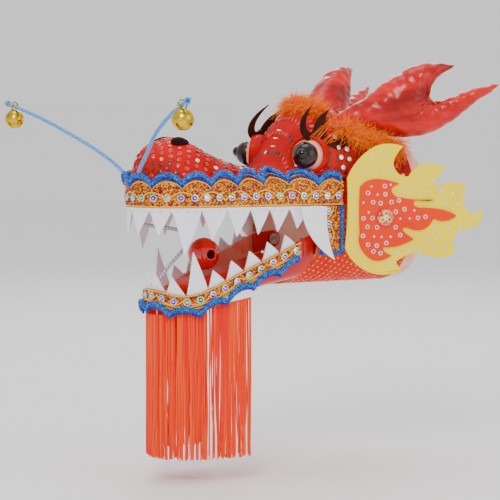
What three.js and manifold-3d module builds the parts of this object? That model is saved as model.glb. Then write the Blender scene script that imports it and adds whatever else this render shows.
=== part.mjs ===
// Dragon-head kite: a cloth-covered plastic head with a hinged lower jaw.
// Millimetres. +Z is up, -X is the way the nose points, and -Y is the dragon's left.
// The origin is the middle of the rear face of the hub, where the kite's body ties on.
import * as THREE from "three";
import { mergeVertices } from "three/addons/utils/BufferGeometryUtils.js";
import Module from "manifold-3d";

const wasm = await Module();
wasm.setup();

// ---------------------------------------------------------------- driving dimensions
const FIT_GAP = 0.4;
const CLOTH_THICKNESS = 0.8;
const GLUE_GAP = 0.3;
const CARVE_SLACK = 0.2;
const SHELL_THICKNESS = 2;
const FOAM_THICKNESS = 2;
const TRIM_THICKNESS = 1.6;
const BRAID_RADIUS = 1.7;

const HEAD = {
  noseCentreX: -249,
  noseRadius: 46,
  collarHalfWidth: 70,
  mouthZ: 9,
  squareness: 2.4,
  cheekSquareness: 2.2,
  cheekFrontX: -119,
  cheekLipX: -138,
  cheekCornerZ: -45,
  cheekBottomZ: -72,
  bareCollarLength: 14,
};
// Ridge line of the head in the middle plane: x, z from the nose to the collar.
const RIDGE = [
  [-295, 34], [-290, 50], [-280, 66], [-265, 74], [-250, 76], [-227, 64], [-204, 54],
  [-182, 47], [-160, 44], [-150, 46], [-140, 62], [-130, 82], [-118, 98], [-100, 105],
  [-70, 103], [-40, 92], [-15, 78], [0, 70],
];

const JAW = {
  noseCentreX: -236,
  noseRadius: 42,
  rearX: -123,
  rearHalfWidth: 55.5,
  lipX: -142,
  squareness: 5,
  frontBottomZ: -95,
  rearBottomZ: -70,
  bandHeight: 16,
  bandRearX: -139,
  braidDrop: 1,
  braidWave: 0.6,
  braidLift: 0.7,
  toothRoot: 4,
  toothInset: 0.8,
  wallOuter: -3.2,
  wallInner: -5.2,
};
// Rim of the lower jaw at rest (mouth open): x, z from the front to the back.
const JAW_RIM = [[-278, -71], [-262, -76], [-240, -72], [-200, -54], [-160, -36], [-122, -19]];
const HINGE = { x: -112, z: -30, pinRadius: 3, boreRadius: 3.5, innerY: 43.5, armInnerY: 44.5,
  armOuterY: 47.5, armFrontX: -134, armTopZ: -24, armBottomZ: -44, endY: 52, headRadius: 5.5,
  headThickness: 2, eyeRadius: 9, spacer: [7, 7, 16], spacerX: -130, spacerZ: -34, spacerInset: 4 };

const TRIM = { bandHeight: 22, bandLift: 1.3, wavePitch: 28, waveHeight: 6, endX: -98,
  braidRise: 4, braidLift: 1.2, braidEnd: 3, dropFrontX: -124, dropRearX: -99, dropBottomZ: -38,
  dropLift: 0.5 };
// Teeth from the middle of the front round one side: width, length.
const UPPER_TEETH = [[24, 26], [22, 27], [28, 46], [26, 32], [24, 29], [20, 27], [20.6, 25], [21, 22]];
const LOWER_TEETH = [[22, 20], [22, 21], [22, 46], [19, 20], [19, 20], [19, 20], [19, 20], [18, 18]];

const FANG = { start: [-147, 8], curves: [[-132, 10, -117, 8], [-120, -18, -108, -45], [-142, -26, -147, 8]],
  x: -112, lift: 3.4 };

const EYE = { x: -125, y: 48, z: 58, radius: 17.5, lidThickness: 2.2, irisRadius: 12.5, irisSunk: 4,
  pupilRadius: 5.5, pupilReach: 6.4, pupilRise: 1, openingGrowth: 1.5, openingReach: 12, lidClear: 0.8,
  facing: [-0.74, -0.67, 0.05] };
const NOSTRIL = { x: -255, y: 20, halfLength: 8.5, halfWidth: 5.5, outerLift: 2.4, innerLift: 0.9 };

const HUB = { radius: 14, thickness: 6 };
const SPAR_RADIUS = 3;
const HOOP = { frontX: -20, rearX: -3, depth: 4, looseness: 0.6 };

const FLAME = { x: -97, y: 71, z: 1, flareDegrees: 13, thickness: 3, innerThickness: 2 };
const FLOWER = { along: 39.5, z: -4.4, radius: 9, thickness: 2.4, pearlRadius: 3.2, pearlRise: 1,
  petalRadius: 3, petalThickness: 2.4, petalReach: 4, petalRise: 0.9 };

const WHISKER_RADIUS = 1.9;
// Path of the dragon's left whisker from its root on the nose to the knot at its end.
const WHISKER = [[-298, -15, 42], [-302, -32, 52], [-308, -55, 63], [-319, -90, 78],
  [-331, -140, 95], [-340, -186, 107], [-342, -198, 110]];
const KNOT_RADIUS = 3.4;
const BELL = { radius: 9.8, wall: 0.9, slotRadius: 2.2, ringRadius: 4.2, ringWire: 0.9,
  x: -340, y: -186, z: 107, pelletRadius: 2.4, pelletRise: 1.2 };

// Path of the silver cord that hangs from the upper lip to the front of the jaw.
const JAW_CORD = [[-287, -8], [-270, -11], [-247, -15], [-234, -21], [-239, -31], [-259, -52],
  [-268, -64]];
const JAW_CORD_RADIUS = 2;

const TONGUE = { frontX: -256, rearX: -140, frontZ: -69.5, rearZ: -42, halfWidth: 23, thickness: 9 };
const PEARL = { x: -218, z: -39, radius: 16, wall: 1.6, portRadius: 5 };
const FRINGE = { drop: 1, bottomZ: -240, thickness: 1.6, inset: 1.1 };

// ---------------------------------------------------------------- geometry helpers
const mix = (a, b, t) => a + (b - a) * t;
const clamp01 = (t) => Math.min(1, Math.max(0, t));

/** Height of a line of [x, z] points at x, smooth through every point. */
function heightAt(line, x) {
  const last = line.length - 1;
  const at = clamp01((x - line[0][0]) / (line[last][0] - line[0][0])) * (line[last][0] - line[0][0])
    + line[0][0];
  let i = 0;
  while (i < last - 1 && line[i + 1][0] < at) i += 1;
  const slope = (k) => {
    const a = line[Math.max(0, k - 1)];
    const b = line[Math.min(last, k + 1)];
    return (b[1] - a[1]) / (b[0] - a[0]);
  };
  const span = line[i + 1][0] - line[i][0];
  const t = (at - line[i][0]) / span;
  const h00 = (1 + 2 * t) * (1 - t) ** 2;
  const h01 = t * t * (3 - 2 * t);
  const h10 = t * (1 - t) ** 2;
  const h11 = t * t * (t - 1);
  return h00 * line[i][1] + h01 * line[i + 1][1] + span * (h10 * slope(i) + h11 * slope(i + 1));
}

/** Geometry of one closed body: shared corners, no flat triangles, faces pointing out. */
function closedBody(positions, triangles) {
  let geometry = new THREE.BufferGeometry();
  geometry.setAttribute("position", new THREE.Float32BufferAttribute(positions, 3));
  geometry.setIndex(triangles);
  geometry = mergeVertices(geometry, 1e-4);
  const p = geometry.getAttribute("position");
  const index = geometry.getIndex().array;
  const kept = [];
  const corner = [new THREE.Vector3(), new THREE.Vector3(), new THREE.Vector3()];
  let volume = 0;
  for (let i = 0; i < index.length; i += 3) {
    const [a, b, c] = [index[i], index[i + 1], index[i + 2]];
    if (a === b || b === c || c === a) continue;
    kept.push(a, b, c);
    corner.forEach((v, k) => v.fromBufferAttribute(p, index[i + k]));
    volume += corner[0].dot(corner[1].clone().cross(corner[2]));
  }
  if (volume < 0) kept.reverse();
  geometry.setIndex(kept);
  return geometry;
}

/** A sheet with two faces: outerAt(u, v) and innerAt(u, v) give their points for 0..1, 0..1. */
function thickPatch(columns, rows, outerAt, innerAt, foldedStart = false) {
  const positions = [];
  const triangles = [];
  const side = (columns + 1) * (rows + 1);
  for (const at of [outerAt, innerAt]) {
    for (let i = 0; i <= columns; i += 1) {
      for (let j = 0; j <= rows; j += 1) positions.push(...at(i / columns, j / rows));
    }
  }
  const id = (layer, i, j) => layer * side + i * (rows + 1) + j;
  const quad = (a, b, c, d) => triangles.push(a, b, c, a, c, d);
  for (let i = 0; i < columns; i += 1) {
    for (let j = 0; j < rows; j += 1) {
      quad(id(0, i, j), id(0, i + 1, j), id(0, i + 1, j + 1), id(0, i, j + 1));
      quad(id(1, i, j), id(1, i, j + 1), id(1, i + 1, j + 1), id(1, i + 1, j));
    }
    quad(id(0, i, 0), id(1, i, 0), id(1, i + 1, 0), id(0, i + 1, 0));
    quad(id(0, i, rows), id(0, i + 1, rows), id(1, i + 1, rows), id(1, i, rows));
  }
  for (let j = 0; j < rows; j += 1) {
    if (!foldedStart) quad(id(0, 0, j), id(0, 0, j + 1), id(1, 0, j + 1), id(1, 0, j));
    quad(id(0, columns, j), id(1, columns, j), id(1, columns, j + 1), id(0, columns, j + 1));
  }
  return closedBody(positions, triangles);
}

/** A stuffed limb: elliptic rings round the given stations, all facing one way. */
function limb(stations, facing, sides) {
  const normal = new THREE.Vector3(...facing).normalize();
  const positions = [];
  const triangles = [];
  const last = stations.length - 1;
  stations.forEach(([x, y, z, inPlane, across], i) => {
    const before = new THREE.Vector3(...stations[Math.max(0, i - 1)].slice(0, 3));
    const after = new THREE.Vector3(...stations[Math.min(last, i + 1)].slice(0, 3));
    const side = after.sub(before).cross(normal).normalize();
    for (let k = 0; k < sides; k += 1) {
      const angle = (2 * Math.PI * k) / sides;
      const point = new THREE.Vector3(x, y, z)
        .addScaledVector(side, inPlane * Math.cos(angle))
        .addScaledVector(normal, across * Math.sin(angle));
      positions.push(point.x, point.y, point.z);
    }
  });
  const ring = (i, k) => i * sides + (k % sides);
  for (let i = 0; i < last; i += 1) {
    for (let k = 0; k < sides; k += 1) {
      triangles.push(ring(i, k), ring(i + 1, k), ring(i + 1, k + 1));
      triangles.push(ring(i, k), ring(i + 1, k + 1), ring(i, k + 1));
    }
  }
  for (let k = 1; k < sides - 1; k += 1) {
    triangles.push(ring(0, 0), ring(0, k), ring(0, k + 1));
    triangles.push(ring(last, 0), ring(last, k + 1), ring(last, k));
  }
  return closedBody(positions, triangles);
}

/** Any closed three.js geometry as a solid that can be joined and cut. */
function solidOf(geometry) {
  const bare = geometry.clone();
  bare.deleteAttribute("normal");
  bare.deleteAttribute("uv");
  const index = bare.getIndex();
  const merged = closedBody(
    Array.from(bare.getAttribute("position").array),
    index ? Array.from(index.array) : [...Array(bare.getAttribute("position").count).keys()],
  );
  return new wasm.Manifold(new wasm.Mesh({
    numProp: 3,
    vertProperties: new Float32Array(merged.getAttribute("position").array),
    triVerts: new Uint32Array(merged.getIndex().array),
  }));
}

function geometryOf(solid) {
  const mesh = solid.getMesh();
  return closedBody(Array.from(mesh.vertProperties), Array.from(mesh.triVerts));
}

/** The geometry with each cutter taken away from it. */
function carve(geometry, ...cutters) {
  return geometryOf(cutters.reduce((left, cutter) => left.subtract(solidOf(cutter)), solidOf(geometry)));
}

function join(...geometries) {
  const [first, ...rest] = geometries.map(solidOf);
  return geometryOf(rest.reduce((sum, solid) => sum.add(solid), first));
}

/** The same piece on the dragon's other side. */
function mirrored(geometry) {
  const bare = solidOf(geometry).getMesh();
  const positions = Array.from(bare.vertProperties).map((v, i) => (i % 3 === 1 ? -v : v));
  return closedBody(positions, Array.from(bare.triVerts));
}

function circle(radius, sides) {
  const points = [...Array(sides).keys()].map((k) => {
    const angle = (2 * Math.PI * k) / sides;
    return new THREE.Vector2(radius * Math.cos(angle), radius * Math.sin(angle));
  });
  return new THREE.Shape(points);
}

/** A round cord along a smooth path. */
function cordAlong(points, radius, sides, steps) {
  const path = new THREE.CatmullRomCurve3(points.map((p) => new THREE.Vector3(...p)));
  return new THREE.ExtrudeGeometry(circle(radius, sides), { steps, extrudePath: path });
}

/** An upright plate: the outline's y becomes height, and it thickens towards -Y from y = 0. */
function uprightPlate(shape, thickness, curveSegments = 3) {
  const plate = new THREE.ExtrudeGeometry(shape, { depth: thickness, bevelEnabled: false, curveSegments });
  return plate.rotateX(Math.PI / 2);
}

/** A closed outline of curves, each given as [bend x, bend z, end x, end z]. */
function curvedOutline(start, curves) {
  const shape = new THREE.Shape();
  shape.moveTo(...start);
  curves.forEach((curve) => shape.quadraticCurveTo(...curve));
  return shape;
}

// ---------------------------------------------------------------- the head's surface
const NOSE_SHARE = 0.3;

/** Plan of the head at u = 0 (nose tip) to 1 (collar), grown outward by offset. */
function headPlan(u, offset) {
  const { noseCentreX, noseRadius, collarHalfWidth } = HEAD;
  if (u < NOSE_SHARE) {
    const angle = (Math.PI / 2) * (u / NOSE_SHARE);
    return {
      x: noseCentreX - (noseRadius + offset) * Math.cos(angle),
      ridgeX: noseCentreX - noseRadius * Math.cos(angle),
      halfWidth: (noseRadius + offset) * Math.sin(angle),
    };
  }
  const t = (u - NOSE_SHARE) / (1 - NOSE_SHARE);
  const x = mix(noseCentreX, 0, t);
  const halfWidth = mix(noseRadius, collarHalfWidth, Math.sin((Math.PI / 2) * t)) + offset;
  return { x, ridgeX: x, halfWidth };
}

/** One point of an arched section: angle 0 is the left rim, half a turn is the right rim. */
function archPoint(x, halfWidth, rimZ, peakZ, angle, squareness) {
  const c = Math.cos(angle);
  const s = Math.max(0, Math.sin(angle));
  const y = -halfWidth * Math.sign(c) * Math.abs(c) ** (2 / squareness);
  return [x, Math.abs(c) < 1e-9 ? 0 : y, rimZ + (peakZ - rimZ) * s ** (2 / squareness)];
}

function roofPoint(u, angle, offset, rimZ = HEAD.mouthZ) {
  const { x, ridgeX, halfWidth } = headPlan(u, offset);
  return archPoint(x, halfWidth, rimZ, heightAt(RIDGE, ridgeX) + offset, angle, HEAD.squareness);
}

function cheekPoint(u, angle, offset, rearX = 0) {
  const probe = archPoint(0, 1, HEAD.mouthZ - FIT_GAP, HEAD.cheekBottomZ, angle, HEAD.cheekSquareness);
  const below = clamp01((HEAD.cheekCornerZ - probe[2]) / (HEAD.cheekCornerZ - HEAD.cheekBottomZ));
  const x = mix(mix(HEAD.cheekFrontX, HEAD.cheekLipX, below), rearX, u);
  const t = (x - HEAD.noseCentreX) / -HEAD.noseCentreX;
  const halfWidth = mix(HEAD.noseRadius, HEAD.collarHalfWidth, Math.sin((Math.PI / 2) * t)) + offset;
  return archPoint(x, halfWidth, HEAD.mouthZ - FIT_GAP, HEAD.cheekBottomZ - offset, angle,
    HEAD.cheekSquareness);
}

const CLOTH_OUT = 0;
const CLOTH_IN = -CLOTH_THICKNESS;
const SHELL_OUT = CLOTH_IN - GLUE_GAP;
const SHELL_IN = SHELL_OUT - SHELL_THICKNESS;

const CLOTH_END = 1 - (HEAD.bareCollarLength / -HEAD.noseCentreX) * (1 - NOSE_SHARE);
const ROOF_COLUMNS = 14;
const ROOF_ROWS = 10;
const CHEEK_COLUMNS = 3;

/** The shell takes every column; the cloth stops one short, where the bare collar starts. */
function roofSheet(outside, inside, isCloth) {
  const at = (offset) => (u, v) => {
    const column = Math.round(u * (isCloth ? ROOF_COLUMNS : ROOF_COLUMNS + 1));
    const along = column > ROOF_COLUMNS ? 1 : (CLOTH_END * column) / ROOF_COLUMNS;
    return roofPoint(along, Math.PI * v, offset);
  };
  return thickPatch(isCloth ? ROOF_COLUMNS : ROOF_COLUMNS + 1, ROOF_ROWS, at(outside), at(inside), true);
}

function cheekSheet(outside, inside, isCloth) {
  const at = (offset) => (u, v) => {
    const column = Math.round(u * (isCloth ? CHEEK_COLUMNS : CHEEK_COLUMNS + 1));
    const isBare = column > CHEEK_COLUMNS;
    return cheekPoint(isBare ? 1 : column / CHEEK_COLUMNS, Math.PI * v, offset,
      isBare ? 0 : -HEAD.bareCollarLength);
  };
  return thickPatch(isCloth ? CHEEK_COLUMNS : CHEEK_COLUMNS + 1, 12, at(outside), at(inside));
}

/** The whole upper head as a filled block, used to trim what lies on it. */
function headBlock(offset) {
  return thickPatch(ROOF_COLUMNS, ROOF_ROWS,
    (u, v) => roofPoint(u * CLOTH_END, Math.PI * v, offset),
    (u) => [headPlan(u * CLOTH_END, offset).x, 0, HEAD.mouthZ], true);
}

/** Distance round the plan from the nose tip turned into a point with a height. */
function rimPoint(plan, distance, z, offset) {
  const { noseCentreX, noseRadius, widthAt } = plan;
  const side = Math.sign(distance) || 1;
  const along = Math.abs(distance);
  const quarter = (Math.PI / 2) * noseRadius;
  if (along < quarter) {
    const angle = along / noseRadius;
    return [noseCentreX - (noseRadius + offset) * Math.cos(angle),
      side * (noseRadius + offset) * Math.sin(angle), z];
  }
  const x = noseCentreX + along - quarter;
  return [x, side * (widthAt(x) + offset), z];
}

const HEAD_RIM = {
  noseCentreX: HEAD.noseCentreX,
  noseRadius: HEAD.noseRadius,
  widthAt: (x) => mix(HEAD.noseRadius, HEAD.collarHalfWidth,
    Math.sin((Math.PI / 2) * ((x - HEAD.noseCentreX) / -HEAD.noseCentreX))),
};
const JAW_RIM_PLAN = {
  noseCentreX: JAW.noseCentreX,
  noseRadius: JAW.noseRadius,
  widthAt: (x) => mix(JAW.noseRadius, JAW.rearHalfWidth,
    (x - JAW.noseCentreX) / (JAW.rearX - JAW.noseCentreX)),
};
const reachTo = (plan, x) => (Math.PI / 2) * plan.noseRadius + x - plan.noseCentreX;

/** A point on the head's side: a distance round the mouth line, a height and a lift off the cloth. */
function headSide(distance, z, offset) {
  const [x, y] = rimPoint(HEAD_RIM, distance, z, 0);
  const [outX, outY] = rimPoint(HEAD_RIM, distance, z, offset);
  const power = HEAD.squareness;
  const rise = heightAt(RIDGE, x) - HEAD.mouthZ;
  const share = Math.min(0.97, clamp01((z - HEAD.mouthZ) / rise));
  const upright = clamp01((-265 - x) / 20);
  const lean = mix((1 - share ** power) ** (1 / power), 1, upright);
  const pull = lean ** (power - 1) / Math.max(1, Math.abs(y));
  const lift = (1 - upright) * (share ** (power - 1) / rise);
  const length = Math.hypot(pull, lift);
  return [
    x + (outX - x) * (pull / length),
    y * lean + (outY - y) * (pull / length),
    z + offset * (lift / length),
  ];
}

// ---------------------------------------------------------------- teeth and trim
/** Bottom edge of a row of teeth: [distance, length] from the middle of the front. */
function toothEdge(teeth, tipBias) {
  const edge = [[0, 2]];
  let start = 0;
  teeth.forEach(([width, length]) => {
    [[0.22, 0.45], [tipBias, 1], [0.74, 0.5], [1, 0.08]].forEach(([share, depth]) => {
      edge.push([start + width * share, Math.max(2, length * depth)]);
    });
    start += width;
  });
  return edge;
}

/** A strip of foam teeth bent round a plan; each column goes from the root to the tooth edge. */
function toothStrip(plan, teeth, tipBias, rootZ, direction, offset) {
  const half = toothEdge(teeth, tipBias);
  const edge = [...half.slice(1).reverse().map(([s, l]) => [-s, l]), ...half];
  const columns = edge.length - 1;
  const pointAt = (layer) => (u, v) => {
    const [distance, length] = edge[Math.round(u * columns)];
    const base = rootZ(rimPoint(plan, distance, 0, 0)[0]);
    return rimPoint(plan, distance, base + direction * length * v, layer);
  };
  return thickPatch(columns, 1, pointAt(offset), pointAt(offset - FOAM_THICKNESS));
}

/** A wavy braid laid round the head or the jaw. */
function wavyBraid(pointAt, reach) {
  const stepsPerWave = 6;
  const steps = stepsPerWave * Math.round((2 * reach) / TRIM.wavePitch);
  const points = [...Array(steps + 1).keys()].map((k) => {
    const distance = mix(-reach, reach, k / steps);
    return pointAt(distance, TRIM.waveHeight * Math.cos((2 * Math.PI * k) / stepsPerWave));
  });
  return cordAlong(points, BRAID_RADIUS, 4, steps);
}

// ---------------------------------------------------------------- scene graph
const dragon = new THREE.Group();

const FINISH = {
  shell: { color: 0xf5b49a, roughness: 0.3, metalness: 0 },
  cloth: { color: 0xe8240c, roughness: 0.6, metalness: 0 },
  cheek: { color: 0xfc5f0a, roughness: 0.7, metalness: 0 },
  foam: { color: 0xf2f0f4, roughness: 0.7, metalness: 0 },
  gold: { color: 0xd29628, roughness: 0.4, metalness: 0.6 },
  blue: { color: 0x146ebe, roughness: 0.7, metalness: 0 },
  satin: { color: 0xd8180a, roughness: 0.35, metalness: 0 },
  yellow: { color: 0xf5d70f, roughness: 0.6, metalness: 0 },
  orange: { color: 0xfa7037, roughness: 0.6, metalness: 0 },
  fur: { color: 0xff7305, roughness: 0.9, metalness: 0 },
  black: { color: 0x14100e, roughness: 0.15, metalness: 0 },
  eye: { color: 0xf0b8a6, roughness: 0.2, metalness: 0 },
  brown: { color: 0x503219, roughness: 0.9, metalness: 0 },
  brass: { color: 0xc7ab14, roughness: 0.3, metalness: 1 },
  steel: { color: 0x9a9c9e, roughness: 0.35, metalness: 1 },
  bamboo: { color: 0xc9a468, roughness: 0.6, metalness: 0 },
  jaw: { color: 0xc80a06, roughness: 0.5, metalness: 0 },
  tongue: { color: 0xca2e11, roughness: 0.7, metalness: 0 },
  lining: { color: 0xe7b4aa, roughness: 0.6, metalness: 0 },
  silver: { color: 0xd8dae0, roughness: 0.5, metalness: 0.2 },
};
const MATERIAL = Object.fromEntries(
  Object.entries(FINISH).map(([name, look]) => [name, new THREE.MeshStandardMaterial(look)]),
);

function add(name, geometry, finish) {
  const mesh = new THREE.Mesh(geometry, MATERIAL[finish]);
  mesh.name = name;
  dragon.add(mesh);
  return mesh;
}

/** The left piece and its mirror image on the right. */
function addPair(name, geometry, finish) {
  add(`${name}_left`, geometry, finish);
  add(`${name}_right`, mirrored(geometry), finish);
}

// ---------------------------------------------------------------- eyes
const eyeCentre = new THREE.Vector3(EYE.x, -EYE.y, EYE.z);
const eyeFacing = new THREE.Vector3(...EYE.facing).normalize();

function ball(radius, centre, around = 14, rings = 8) {
  return new THREE.SphereGeometry(radius, around, rings)
    .applyQuaternion(new THREE.Quaternion().setFromUnitVectors(new THREE.Vector3(0, 1, 0), eyeFacing))
    .translate(...centre.toArray());
}

const eyeHole = ball(EYE.radius + FIT_GAP, eyeCentre);
const lidRadius = EYE.radius + FIT_GAP + EYE.lidThickness;

function buildEyes() {
  const forward = (reach) => eyeCentre.clone().addScaledVector(eyeFacing, reach);
  const irisCentre = forward(EYE.radius - EYE.irisSunk);
  const pupilCentre = forward(EYE.radius + EYE.pupilReach).add(new THREE.Vector3(0, 0, EYE.pupilRise));
  const lidOpening = ball(EYE.radius + EYE.openingGrowth, forward(EYE.openingReach));
  const irisRoom = ball(EYE.irisRadius + GLUE_GAP, irisCentre);
  addPair("eyeball", ball(EYE.radius, eyeCentre), "eye");
  addPair("iris", carve(ball(EYE.irisRadius, irisCentre), ball(EYE.radius + GLUE_GAP, eyeCentre)), "black");
  addPair("pupil", carve(ball(EYE.pupilRadius, pupilCentre, 10, 6), irisRoom), "black");
  const lid = carve(ball(lidRadius, eyeCentre), eyeHole, lidOpening, headBlock(FIT_GAP),
    ball(EYE.irisRadius + EYE.lidClear, irisCentre));
  addPair("eyelid", lid, "cloth");
}

// ---------------------------------------------------------------- head shells and covers
function buildHeadShells() {
  const holes = [eyeHole, mirrored(eyeHole)];
  add("upper_shell", carve(roofSheet(SHELL_OUT, SHELL_IN, false), ...holes), "shell");
  add("upper_cover", carve(roofSheet(CLOTH_OUT, CLOTH_IN, true), ...holes), "cloth");
  add("cheek_shell", cheekSheet(SHELL_OUT, SHELL_IN, false), "shell");
  add("cheek_cover", cheekSheet(CLOTH_OUT, CLOTH_IN, true), "cheek");
}

function collarOutline(offset) {
  const steps = 16;
  const outline = [];
  for (let k = 0; k < steps; k += 1) {
    const [, y, z] = roofPoint(1, (Math.PI * k) / steps, offset);
    outline.push(new THREE.Vector2(y, z));
  }
  for (let k = 0; k < steps; k += 1) {
    const [, y, z] = cheekPoint(1, Math.PI - (Math.PI * k) / steps, offset);
    outline.push(new THREE.Vector2(y, z));
  }
  return outline;
}

function buildRearFrame() {
  const outerOffset = SHELL_IN - FIT_GAP;
  const innerOffset = outerOffset - HOOP.depth;
  const ring = new THREE.Shape(collarOutline(outerOffset - HOOP.looseness));
  ring.holes.push(new THREE.Path(collarOutline(innerOffset).reverse()));
  const hoop = new THREE.ExtrudeGeometry(ring, { depth: HOOP.rearX - HOOP.frontX, bevelEnabled: false });
  hoop.applyMatrix4(new THREE.Matrix4().makeBasis(
    new THREE.Vector3(0, 1, 0), new THREE.Vector3(0, 0, 1), new THREE.Vector3(1, 0, 0),
  )).translate(HOOP.frontX, 0, 0);
  add("collar_hoop", hoop, "bamboo");

  const sparGap = 1;
  const top = HEAD.collarHalfWidth + innerOffset - 3 * sparGap;
  const bottom = HEAD.cheekBottomZ - innerOffset + 3 * sparGap;
  const behindHub = -HUB.thickness - FIT_GAP - SPAR_RADIUS;
  const upright = new THREE.CylinderGeometry(SPAR_RADIUS, SPAR_RADIUS, top - bottom, 10)
    .rotateX(Math.PI / 2).translate(behindHub, 0, (top + bottom) / 2);
  const reach = HEAD.collarHalfWidth + innerOffset - sparGap;
  const cross = new THREE.CylinderGeometry(SPAR_RADIUS, SPAR_RADIUS, 2 * reach, 10)
    .translate(behindHub - 2 * SPAR_RADIUS - FIT_GAP, 0, 0);
  add("spar_upright", upright, "bamboo");
  add("spar_cross", cross, "bamboo");
  add("hub", new THREE.CylinderGeometry(HUB.radius, HUB.radius, HUB.thickness, 24)
    .rotateZ(Math.PI / 2).translate(-HUB.thickness / 2, 0, 0), "steel");
}

// ---------------------------------------------------------------- head trim and teeth
function buildHeadTrim() {
  const reach = reachTo(HEAD_RIM, TRIM.endX);
  const onHead = headBlock(GLUE_GAP);
  const bandOut = TRIM.bandLift + TRIM_THICKNESS;
  const bandAt = (offset) => (u, v) => headSide(
    mix(-reach, reach, u), mix(HEAD.mouthZ + FIT_GAP, HEAD.mouthZ + TRIM.bandHeight, v), offset);
  add("upper_band", carve(thickPatch(28, 2, bandAt(bandOut), bandAt(TRIM.bandLift)), onHead), "gold");
  const braidZ = HEAD.mouthZ + TRIM.bandHeight + TRIM.braidRise;
  const braid = wavyBraid((distance, wave) => headSide(distance, braidZ + wave,
    bandOut + BRAID_RADIUS + TRIM.braidLift), reach - TRIM.braidEnd);
  add("upper_braid", carve(braid, onHead), "blue");

  const dropAt = (offset) => (u, v) => {
    const distance = -reachTo(HEAD_RIM, mix(TRIM.dropFrontX, TRIM.dropRearX, u));
    return rimPoint(HEAD_RIM, distance, mix(HEAD.mouthZ - 2 * FIT_GAP, TRIM.dropBottomZ, v), offset);
  };
  addPair("cheek_trim",
    thickPatch(2, 1, dropAt(TRIM.dropLift + TRIM_THICKNESS), dropAt(TRIM.dropLift)), "gold");

  add("upper_teeth", carve(toothStrip(HEAD_RIM, UPPER_TEETH, 0.42,
    () => HEAD.mouthZ - 0.2, -1, bandOut), ...cheekTrimCutters()), "foam");

  const fang = curvedOutline(FANG.start, FANG.curves);
  const fangY = HEAD_RIM.widthAt(FANG.x) + FANG.lift;
  addPair("rear_fang", uprightPlate(fang, FOAM_THICKNESS, 5).translate(0, -fangY, 0), "foam");
}

function cheekTrimCutters() {
  const width = 2 * (HEAD.collarHalfWidth + 10);
  return [new THREE.BoxGeometry(30, width, 60)
    .translate(TRIM.dropFrontX - FIT_GAP + 15, 0, HEAD.mouthZ - 30)];
}

function buildNostrils() {
  const surfaceZ = (x, y) => {
    const nose = x < HEAD.noseCentreX
      ? Math.sqrt(HEAD.noseRadius ** 2 - (x - HEAD.noseCentreX) ** 2) : HEAD_RIM.widthAt(x);
    const share = clamp01(Math.abs(y) / nose);
    return HEAD.mouthZ + (heightAt(RIDGE, x) - HEAD.mouthZ)
      * (1 - share ** HEAD.squareness) ** (1 / HEAD.squareness);
  };
  const pad = (lift) => (u, v) => {
    const angle = 2 * Math.PI * u;
    const x = NOSTRIL.x + NOSTRIL.halfLength * v * Math.cos(angle);
    const y = -NOSTRIL.y + NOSTRIL.halfWidth * v * Math.sin(angle);
    return [x, y, surfaceZ(x, y) + lift];
  };
  const rings = 2;
  const around = 12;
  const positions = [];
  const triangles = [];
  for (const lift of [NOSTRIL.outerLift, NOSTRIL.innerLift]) {
    positions.push(...pad(lift)(0, 0));
    for (let r = 1; r <= rings; r += 1) {
      for (let k = 0; k < around; k += 1) positions.push(...pad(lift)(k / around, r / rings));
    }
  }
  const layer = 1 + rings * around;
  const id = (top, r, k) => top * layer + 1 + (r - 1) * around + (k % around);
  for (let k = 0; k < around; k += 1) {
    triangles.push(0, id(0, 1, k), id(0, 1, k + 1));
    triangles.push(layer, id(1, 1, k + 1), id(1, 1, k));
    triangles.push(id(0, 1, k), id(0, 2, k), id(0, 2, k + 1), id(0, 1, k), id(0, 2, k + 1), id(0, 1, k + 1));
    triangles.push(id(1, 1, k), id(1, 2, k + 1), id(1, 2, k), id(1, 1, k), id(1, 1, k + 1), id(1, 2, k + 1));
    triangles.push(id(0, 2, k), id(1, 2, k), id(1, 2, k + 1), id(0, 2, k), id(1, 2, k + 1), id(0, 2, k + 1));
  }
  addPair("nostril", closedBody(positions, triangles), "brown");
}

// ---------------------------------------------------------------- horns, brows and fur
const HORN_CENTRE = [-20, -72, 108];
const HORN_ALONG = [0.866, -0.5];
const HORN_FACING = [0.5, 0.866, 0];
const BROW = { tilt: -0.32, at: [-118, -57, 64] };
// Stations of the two kinds of fur: x, y, z, half height, half thickness.
const FOREHEAD_FUR = [
  [-99, -36, 96, 5, 6], [-103, -26, 104, 8, 8], [-106, -9, 108, 9, 9],
  [-106, 9, 108, 9, 9], [-103, 26, 104, 8, 8], [-99, 36, 96, 5, 6]];
const HORN_FUR = [
  [-92, -52, 84, 3, 4], [-78, -58, 78, 6, 6], [-62, -62, 72, 7, 6], [-46, -65, 67, 5, 5],
  [-32, -67, 63, 3, 3]];

/** Stations of a horn prong: [along, up, half height, half thickness] from the horn's middle. */
function prong(stations) {
  return limb(stations.map(([along, up, inPlane, across]) => [
    HORN_CENTRE[0] + along * HORN_ALONG[0], HORN_CENTRE[1] + along * HORN_ALONG[1],
    HORN_CENTRE[2] + up, inPlane, across]), HORN_FACING, 10);
}

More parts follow.
